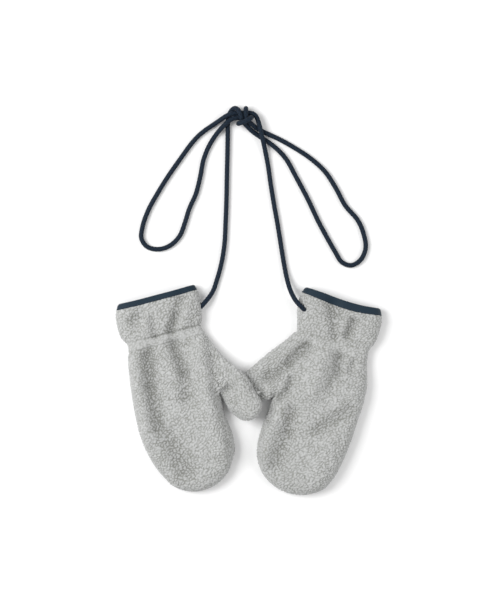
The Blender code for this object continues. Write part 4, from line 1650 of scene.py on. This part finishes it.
@dataclass
class BindingStitching:
    """One row of stitches near the tape's lower edge, all round the cuff.

    Attributes:
        binding: The binding that the row holds down.
        inset: How far inside the tape's edge the row runs.
        least: The least height over the table, under the tape's own.
    """

    binding: CuffBinding
    inset: float = 0.9
    least: float = 0.01

    def mesh(self, thread: bpy.types.Material) -> bpy.types.Object:
        """Build the row of stitches.

        Args:
            thread: The thread's material.

        Returns:
            The stitching's object.
        """
        form = self.binding.form
        base, outward, slope = self.binding.edge()
        points = base + slope * (form.tape_end(base[:, 1]) - self.inset)[:, None]
        points = np.vstack([points, points[:1]])
        outward = np.vstack([outward, outward[:1]])
        line = StitchLine(points, outward, length=2.0, gap=0.7, radius=0.16, proud=0.05)
        new, faces = line.threads()
        new[:, 0] += form.cuff_bend(new)
        placed = form.placed(new, self.least)
        return add_piece(f"{form.name}_tape_stitches", placed, faces, thread)


@dataclass
class BraidedCord:
    """The round braided cord, caught in both cuffs and tied in a bow.

    Attributes:
        stretches: The route's points, stretch by stretch from the left cuff to the right one.
        diameter: The cord's diameter.
        ring_step: Distance between two rings of the tube.
        sides: How many points each ring has.
        left_seam: Where in the left cuff's seam the cord's end is sewn in.
        right_seam: Where in the right cuff's seam its other end is sewn in.
        strands: How many strands cross each other round the cord.
        lay: How far along the cord a strand takes to go round once.
        relief: How far a strand's crown stands over the gaps.
    """

    stretches: list[list[CordPoint]]
    diameter: float = 4.2
    ring_step: float = 0.45
    sides: int = 20
    left_seam: tuple[float, float, float] = (200.4, 307.4, 6.6)
    right_seam: tuple[float, float, float] = (304.6, 310.2, 12.4)
    strands: int = 8
    lay: float = 13.0
    relief: float = 0.14

    # How often each point is drawn halfway to its neighbours' middle, which rounds the bends
    SOFTENINGS = 22
    # The least air between the table and the cord
    CLEARANCE = 0.15

    def route(self) -> Array:
        """Return the centre line's points in millimetres, a ring's step apart."""
        named = [point for stretch in self.stretches for point in stretch]
        named = [CordPoint(*self.left_seam), *named, CordPoint(*self.right_seam)]
        points = np.array([[*photo_place(p.x_px, p.y_px), p.height] for p in named])
        place = run_along(points)
        fine = np.linspace(0.0, place[-1], 12000)
        curve = np.column_stack([smooth_values(fine, place, points[:, axis]) for axis in range(3)])
        curve[:, 2] = np.maximum(curve[:, 2], self.diameter / 2 + self.CLEARANCE)
        run = run_along(curve)
        marks = np.linspace(0.0, run[-1], int(run[-1] / self.ring_step) + 1)
        even = points_at(marks, run, curve)
        for _ in range(self.SOFTENINGS):
            even[1:-1] += (even[:-2] + even[2:] - 2 * even[1:-1]) / 4
        return even

    @staticmethod
    def length(route: Array) -> float:
        """Return a route's length."""
        return float(run_along(route)[-1])

    def _frames(self, route: Array) -> tuple[Array, Array]:
        """Return two directions square to the route at each point, without a twist."""
        heading = unit(np.gradient(route, axis=0))
        side = np.zeros_like(route)
        side[0] = unit(np.cross(heading[0], [0.0, 0.0, 1.0]))
        for i in range(1, len(route)):
            side[i] = unit(side[i - 1] - heading[i] * (side[i - 1] @ heading[i]))
        return side, np.cross(heading, side)

    def mesh(self, finish: bpy.types.Material) -> tuple[bpy.types.Object, Array]:
        """Build the cord as a tube with its braid raised on it.

        Args:
            finish: The cord's material.

        Returns:
            The cord's object and its centre line in metres.
        """
        route = self.route()
        side, up = self._frames(route)
        run = np.linspace(0.0, self.length(route), len(route))[:, None]
        angle = np.linspace(0, 2 * np.pi, self.sides, endpoint=False)[None]
        half = self.strands / 2
        one_way = np.cos(half * angle + 2 * np.pi * half * run / self.lay)
        other_way = np.cos(half * angle - 2 * np.pi * half * run / self.lay)
        braid = np.maximum(one_way, other_way) * 0.5 + 0.5
        radius = self.diameter / 2 - self.relief + self.relief * braid
        spread = np.cos(angle)[..., None] * side[:, None] + np.sin(angle)[..., None] * up[:, None]
        points = route[:, None] + radius[..., None] * spread
        numbers = np.arange(points.shape[0] * self.sides).reshape(-1, self.sides)
        here, ahead = numbers[:-1], numbers[1:]
        cells = np.stack([here, np.roll(here, -1, 1), np.roll(ahead, -1, 1), ahead], axis=-1)
        faces = cells.reshape(-1, 4).tolist()
        faces += [numbers[0][::-1].tolist(), numbers[-1].tolist()]
        piece = add_piece(
            "mitten_cord", points.reshape(-1, 3) * MM, faces, finish, {"braid": braid.ravel()}
        )
        return piece, route * MM


@dataclass
class Studio:
    """The pale table, the soft lights and the camera.

    Attributes:
        distance: The camera's height over the seams, in metres.
        sensor: The camera's film width in millimetres.
        seam_height: The height in metres at which the photo's scale holds.
        table_half: Half the length of the table's side, in metres.
        table_drop: How far under the mittens' underside the table lies, in metres.
    """

    distance: float = 1.6
    sensor: float = 36.0
    seam_height: float = 0.006
    table_half: float = 2.5
    table_drop: float = 0.0002

    def camera(self) -> None:
        """Add the camera, straight above the photo's centre."""
        data = bpy.data.cameras.new("photo_camera")
        frame_height = PHOTO_HEIGHT_PX * PHOTO_MM_PER_PIXEL * MM
        data.sensor_width = self.sensor
        data.lens = self.sensor * self.distance / frame_height
        data.clip_end = 10.0
        camera = bpy.data.objects.new("photo_camera", data)
        x, y = photo_place(*PHOTO_CENTRE_PX) * MM
        camera.location = (x, y, self.distance + self.seam_height)
        bpy.context.scene.collection.objects.link(camera)
        bpy.context.scene.camera = camera

    def table(self, finish: bpy.types.Material) -> None:
        """Add the table top that the mittens lie on."""
        corners = self.table_half * np.array([(-1, -1, 0), (1, -1, 0), (1, 1, 0), (-1, 1, 0)])
        table = add_piece("table_top", corners, [[0, 1, 2, 3]], finish)
        table.location.z = -self.table_drop

    def light(self, name: str, place: tuple[float, float, float], size: float, watts: float) -> None:
        """Add a square soft light that faces the mittens.

        Args:
            name: The light's name.
            place: Where it stands, in metres.
            size: The length of its side.
            watts: Its power.
        """
        data = bpy.data.lights.new(name, "AREA")
        data.shape = "SQUARE"
        data.size = size
        data.energy = watts
        light = bpy.data.objects.new(name, data)
        light.location = place
        towards = Vector((0.0, 0.0, 0.0)) - Vector(place)
        light.rotation_euler = towards.to_track_quat("-Z", "Y").to_euler()
        bpy.context.scene.collection.objects.link(light)

    def world(self, strength: float) -> None:
        """Give the room an even white glow of that strength."""
        world = bpy.data.worlds.new("white_room")
        world.use_nodes = True
        glow = world.node_tree.nodes["Background"]
        glow.inputs["Color"].default_value = (1.0, 1.0, 1.0, 1.0)
        glow.inputs["Strength"].default_value = strength
        bpy.context.scene.world = world

    def build(self) -> None:
        """Add the camera, the table and the lights."""
        self.camera()
        self.table(TableFinish().material())
        self.world(strength=0.5)
        self.light("window_softbox", place=(-1.0, 0.3, 1.2), size=0.9, watts=20.5)
        self.light("white_board", place=(1.0, 0.0, 0.95), size=0.8, watts=5.6)
        view = bpy.context.scene.view_settings
        view.view_transform = "Standard"
        view.look = "None"


LEFT_MITTEN = MittenForm(
    name="left",
    mirror=1,
    tilt_deg=14.5,
    cuff_px=(157.1, 296.45),
    hand=[
        HandSection(0.0, -35.4, 34.4, 15.0),
        HandSection(4.0, -37.6, 35.4, 15.3),
        HandSection(9.0, -39.5, 35.8, 15.6),
        HandSection(16.0, -40.2, 35.6, 15.4),
        HandSection(27.0, -39.5, 33.4, 14.4),
        HandSection(36.0, -35.6, 30.8, 13.2),
        HandSection(44.5, -37.8, 31.3, 13.6),
        HandSection(65.0, -41.3, 32.0, 16.6),
        HandSection(81.0, -43.2, 32.4, 17.6),
        HandSection(97.0, -44.4, 32.6, 18.2),
        HandSection(114.0, -44.8, 31.4, 18.5),
        HandSection(132.0, -42.2, 33.5, 18.5),
        HandSection(148.0, -37.0, 31.8, 18.0),
        HandSection(161.5, -30.0, 24.0, 17.4),
    ],
    tip=(174.2, -4.0),
    crotch=97.0,
    thumb=[
        ThumbSection(97.0, 32.6, 36.0, 30.8),
        ThumbSection(101.9, 33.6, 51.0, 36.2),
        ThumbSection(106.4, 34.6, 67.0, 44.2),
        ThumbSection(112.4, 36.4, 84.7, 57.0),
        ThumbSection(120.1, 41.9, 104.6, 63.7),
    ],
    thumb_tip=(122.2, 59.5),
    thumb_thickness=12.4,
    folds=[
        Fold(16.0, -25.0, 12.0, -18.0, 5.0, -3.6),
        Fold(8.0, 20.0, 20.0, 12.5, 5.2, -4.0),
        Fold(20.0, 12.5, 32.0, 4.5, 4.4, -5.2),
        Fold(18.0, -9.0, 33.0, -9.0, 3.0, -1.8),
        Fold(14.0, -14.0, 30.0, -17.0, 4.5, 2.0),
        Fold(16.0, 22.0, 32.0, 15.0, 5.0, 2.2),
        Fold(44.0, -17.0, 48.0, -21.0, 4.5, -3.6),
        Fold(48.0, -20.5, 75.0, -24.5, 6.3, -6.4),
        Fold(75.0, -24.5, 112.0, -26.0, 6.3, -5.6),
        Fold(50.0, -36.0, 120.0, -40.0, 5.0, 2.6),
        Fold(44.0, 3.5, 72.0, 7.0, 5.4, -5.8),
        Fold(72.0, 7.0, 92.0, 3.0, 5.8, -4.0),
        Fold(47.0, 9.0, 48.0, 22.0, 3.5, -2.4),
        Fold(52.0, 24.0, 108.0, 21.0, 8.0, 3.8),
        Fold(62.0, 33.0, 78.0, 31.0, 4.5, -2.8),
        Fold(78.0, 31.0, 94.0, 29.0, 4.0, -2.6),
        Fold(98.0, 31.0, 92.0, 41.0, 2.8, -3.4),
        Fold(120.0, -22.0, 154.0, -14.0, 9.0, -4.0),
        Fold(108.0, 21.0, 142.0, 20.0, 9.0, 3.2),
        Fold(118.0, 30.0, 150.0, 28.5, 3.2, -1.6),
        Fold(120.0, 35.5, 150.0, 34.5, 2.6, 1.3),
    ],
    edge_bend=(-0.9, -0.3, -0.4, -0.5, -1.1),
    tape_ends=(3.8, 3.9, 3.9),
    thumb_lift=11.6,
)

RIGHT_MITTEN = MittenForm(
    name="right",
    mirror=-1,
    tilt_deg=16.0,
    cuff_px=(342.3, 300.2),
    hand=[
        HandSection(0.0, -34.4, 34.4, 15.0),
        HandSection(4.0, -36.4, 36.0, 15.3),
        HandSection(9.0, -38.2, 36.7, 15.6),
        HandSection(17.0, -38.7, 36.2, 15.4),
        HandSection(28.0, -37.8, 33.2, 14.4),
        HandSection(36.0, -34.6, 31.0, 13.2),
        HandSection(44.0, -35.4, 31.6, 13.6),
        HandSection(66.5, -41.4, 33.0, 16.6),
        HandSection(82.0, -42.6, 34.2, 17.6),
        HandSection(98.0, -42.0, 35.0, 18.2),
        HandSection(118.0, -41.2, 36.5, 18.5),
        HandSection(135.5, -39.1, 37.0, 18.5),
        HandSection(152.0, -35.5, 34.0, 18.0),
        HandSection(162.3, -30.8, 27.8, 17.4),
    ],
    tip=(175.1, -1.0),
    crotch=98.0,
    thumb=[
        ThumbSection(98.0, 35.0, 36.0, 31.0),
        ThumbSection(100.8, 36.8, 49.5, 39.8),
        ThumbSection(103.2, 41.6, 61.5, 49.0),
        ThumbSection(105.6, 48.8, 75.5, 58.3),
        ThumbSection(106.9, 57.5, 87.0, 66.0),
    ],
    thumb_tip=(99.6, 67.4),
    thumb_thickness=11.2,
    folds=[
        Fold(6.0, 8.5, 15.0, 3.5, 6.5, -4.8),
        Fold(15.0, 4.5, 32.0, -2.0, 4.5, -3.6),
        Fold(14.0, -14.0, 29.0, -12.5, 3.8, -4.6),
        Fold(49.0, -10.5, 62.0, -13.0, 5.0, -5.0),
        Fold(62.0, -13.0, 76.0, -10.0, 5.5, -2.8),
        Fold(49.0, -24.0, 57.0, -23.0, 3.4, -2.6),
        Fold(47.0, 19.5, 66.0, 30.5, 5.0, -5.8),
        Fold(66.0, 30.5, 82.0, 43.0, 5.0, -4.6),
        Fold(50.0, 3.0, 84.0, 4.0, 8.5, 4.4),
        Fold(78.0, 24.0, 88.0, 25.0, 3.4, -3.8),
        Fold(88.0, 25.0, 98.0, 30.0, 3.2, -4.0),
        Fold(106.0, 16.5, 124.0, 15.0, 6.0, -4.8),
        Fold(124.0, 15.0, 156.0, 17.5, 6.5, -3.8),
        Fold(99.0, 35.0, 120.0, 33.5, 2.6, -4.0),
        Fold(118.0, 31.0, 156.0, 29.0, 4.5, 2.4),
        Fold(90.0, -32.0, 114.0, -11.0, 6.0, -3.6),
        Fold(124.0, -22.0, 152.0, -22.0, 8.0, 1.4),
    ],
    edge_bend=(-1.4, 0.7, 0.8, -0.6, -1.4),
    tape_ends=(4.9, 5.8, 4.2),
    elastic_along=41.0,
    elastic_grip=0.35,
    row_lean_deg=-41.0,
    rolled_seam_deg=46.0,
)

# Heights of the cord's centre line: on the table, and one and two cords above it
L0, L1, L2 = (2.15 + 4.25 * level for level in range(3))
LEFT_FEED = [
    CordPoint(203.6, 303.9, 7.0),
    CordPoint(207.6, 299.2, 5.4),
    CordPoint(212.7, 291.5, 3.0),
    CordPoint(217.0, 279.3, L0),
    CordPoint(221.2, 263.9, L0),
    CordPoint(224.4, 244.0, L0),
    CordPoint(225.6, 222.0, L0),
    CordPoint(226.4, 200.0, L0),
    CordPoint(226.9, 174.2, L0),
    CordPoint(227.5, 148.0, L0),
    CordPoint(227.8, 128.0, L0),
]
KNOT_TO_RIGHT_LOOP = [
    CordPoint(227.9, 121.5, L0),
    CordPoint(228.4, 117.2, L0),
    CordPoint(229.2, 113.8, L0),
    CordPoint(230.6, 111.1, 2.9),
    CordPoint(232.6, 109.0, 4.6),
    CordPoint(235.0, 108.1, 7.0),
    CordPoint(237.5, 109.4, 9.5),
    CordPoint(239.5, 112.2, L2),
    CordPoint(240.7, 115.4, L2),
    CordPoint(241.4, 118.2, 10.7),
    CordPoint(242.7, 121.7, 9.0),
    CordPoint(245.2, 124.4, 7.4),
    CordPoint(248.2, 127.5, 5.6),
    CordPoint(251.7, 130.6, 3.8),
    CordPoint(255.8, 133.6, L0),
    CordPoint(260.8, 136.9, L0),
]
RIGHT_LOOP = [
    CordPoint(271.0, 143.7, L0),
    CordPoint(284.3, 156.3, L0),
    CordPoint(296.3, 177.0, L0),
    CordPoint(309.0, 201.1, L0),
    CordPoint(318.2, 220.7, L0),
    CordPoint(327.4, 237.9, L0),
    CordPoint(336.0, 252.9, L0),
    CordPoint(341.8, 262.0, L0),
    CordPoint(350.9, 265.5, L0),
    CordPoint(360.0, 260.8, L0),
    CordPoint(365.9, 248.3, L0),
    CordPoint(364.1, 234.5, L0),
    CordPoint(358.4, 220.7, L0),
    CordPoint(345.7, 205.7, L0),
    CordPoint(336.0, 187.9, L0),
    CordPoint(325.1, 171.3, L0),
    CordPoint(311.3, 158.6, L0),
    CordPoint(294.0, 147.1, L0),
    CordPoint(277.9, 138.2, L0),
    CordPoint(269.0, 134.1, L0),
]
KNOT_TO_LEFT_LOOP = [
    CordPoint(262.5, 131.0, L0),
    CordPoint(256.9, 127.9, 3.2),
    CordPoint(252.4, 124.8, 6.2),
    CordPoint(248.8, 121.8, 8.8),
    CordPoint(246.6, 118.8, 10.4),
    CordPoint(245.9, 115.8, L2),
    CordPoint(245.8, 112.4, L2),
    CordPoint(245.9, 109.7, 9.8),
    CordPoint(246.0, 108.1, L1),
    CordPoint(245.9, 109.7, 2.9),
    CordPoint(245.7, 113.0, L0),
    CordPoint(244.0, 116.8, L0),
    CordPoint(241.8, 120.4, L0),
    CordPoint(239.9, 122.8, 3.4),
    CordPoint(238.6, 123.8, 6.6),
    CordPoint(238.6, 123.9, 10.2),
    CordPoint(240.2, 123.7, 12.8),
    CordPoint(243.3, 123.0, 13.2),
    CordPoint(246.1, 121.8, 13.8),
    CordPoint(248.6, 120.2, 13.9),
    CordPoint(250.7, 118.9, 13.1),
    CordPoint(251.5, 118.1, 10.4),
    CordPoint(251.2, 117.7, 7.7),
    CordPoint(248.9, 117.6, L1),
    CordPoint(243.8, 117.6, L1),
    CordPoint(238.6, 117.6, L1),
    CordPoint(233.6, 118.2, L1),
    CordPoint(230.0, 120.1, L1),
    CordPoint(225.8, 124.0, 6.9),
    CordPoint(221.6, 127.9, 5.0),
    CordPoint(217.0, 133.0, 2.6),
]
LEFT_LOOP = [
    CordPoint(209.5, 144.5, L0),
    CordPoint(203.4, 159.5, L0),
    CordPoint(200.2, 176.0, L0),
    CordPoint(195.8, 193.5, L0),
    CordPoint(188.9, 209.2, L0),
    CordPoint(184.7, 222.8, L0),
    CordPoint(179.1, 236.5, L0),
    CordPoint(169.8, 245.5, L0),
    CordPoint(158.1, 249.2, L0),
    CordPoint(146.2, 246.2, L0),
    CordPoint(141.0, 238.0, L0),
    CordPoint(141.9, 228.3, L0),
    CordPoint(147.2, 212.0, L0),
    CordPoint(158.6, 191.0, L0),
    CordPoint(178.6, 160.8, L0),
    CordPoint(200.1, 133.9, L0),
]
KNOT_TO_RIGHT_FEED = [
    CordPoint(215.3, 123.0, 2.6),
    CordPoint(221.7, 118.9, 5.2),
    CordPoint(227.0, 115.6, L1),
    CordPoint(232.6, 113.5, L1),
    CordPoint(238.0, 112.9, L1),
    CordPoint(244.0, 112.9, L1),
    CordPoint(249.6, 112.9, L1),
    CordPoint(253.2, 113.6, L1),
    CordPoint(255.9, 115.9, L1),
    CordPoint(257.6, 119.4, L1),
    CordPoint(258.9, 123.6, L1),
    CordPoint(260.2, 128.2, 6.7),
    CordPoint(261.5, 134.0, 6.8),
    CordPoint(263.0, 140.5, 6.5),
    CordPoint(264.8, 148.5, 3.9),
]
RIGHT_FEED = [
    CordPoint(268.0, 165.0, L0),
    CordPoint(270.9, 185.0, L0),
    CordPoint(274.2, 205.1, L0),
    CordPoint(277.9, 225.7, L0),
    CordPoint(281.2, 246.3, L0),
    CordPoint(284.4, 265.6, L0),
    CordPoint(287.3, 280.0, 4.4),
    CordPoint(291.2, 292.5, 9.2),
    CordPoint(296.8, 302.2, 13.9),
    CordPoint(302.2, 307.8, 14.9),
]
CORD_STRETCHES = [
    LEFT_FEED,
    KNOT_TO_RIGHT_LOOP,
    RIGHT_LOOP,
    KNOT_TO_LEFT_LOOP,
    LEFT_LOOP,
    KNOT_TO_RIGHT_FEED,
    RIGHT_FEED,
]


@dataclass
class MittenPieces:
    """Everything sewn into one mitten.

    Attributes:
        form: The mitten's smooth form.
        seed: Picks the pile's pattern.
        top_spacing: The distance between points of the top panel's net.
        under_spacing: The distance between points of the under panel's net.
    """

    form: MittenForm
    seed: int
    top_spacing: float = 0.46
    under_spacing: float = 0.66

    # What each panel adds to the seed, so that their piles differ
    SEED_STEPS = {Face.TOP: 5, Face.UNDER: 4}

    def build(
        self,
        fleece: bpy.types.Material,
        tape: bpy.types.Material,
        pale_thread: bpy.types.Material,
        navy_thread: bpy.types.Material,
    ) -> None:
        """Args:
            fleece: The panels' material.
            tape: The binding's material.
            pale_thread: The elastic's thread.
            navy_thread: The binding's thread.
        """
        for face, spacing in ((Face.TOP, self.top_spacing), (Face.UNDER, self.under_spacing)):
            panel = FleecePanel(self.form, face, spacing, self.seed + self.SEED_STEPS[face])
            piece = panel.mesh(fleece)
            node = f"{self.form.name}_{face.value}_panel"
            attach(piece, node)
        binding = CuffBinding(self.form)
        piece = binding.mesh(tape)
        attach(piece, f"{self.form.name}_binding")
        attach(ElasticStitching(self.form).mesh(pale_thread))
        attach(BindingStitching(binding).mesh(navy_thread))


def build_cord() -> None:
    cord = BraidedCord(CORD_STRETCHES)
    piece, route = cord.mesh(CORD_FINISH.material())
    attach(piece, "cord")
    length = BraidedCord.length(route)
    LOG.info("%s: %.3f m long", piece.name, length)


def main() -> None:
    """Build the studio, the cord and both mittens."""
    logging.basicConfig(level=logging.INFO, format="%(name)s: %(message)s")
    Studio().build()
    build_cord()
    fleece = BoaFleeceFinish().material()
    tape = TAPE_FINISH.material()
    pale_thread = ThreadFinish("sewing_thread_light_grey", "#C6C8C5", "#9FA19D").material()
    navy_thread = ThreadFinish("sewing_thread_navy", "#2E3B49", "#1A222D").material()
    for form, seed in ((LEFT_MITTEN, 11), (RIGHT_MITTEN, 47)):
        MittenPieces(form, seed).build(fleece, tape, pale_thread, navy_thread)


if __name__ == "__main__":
    main()
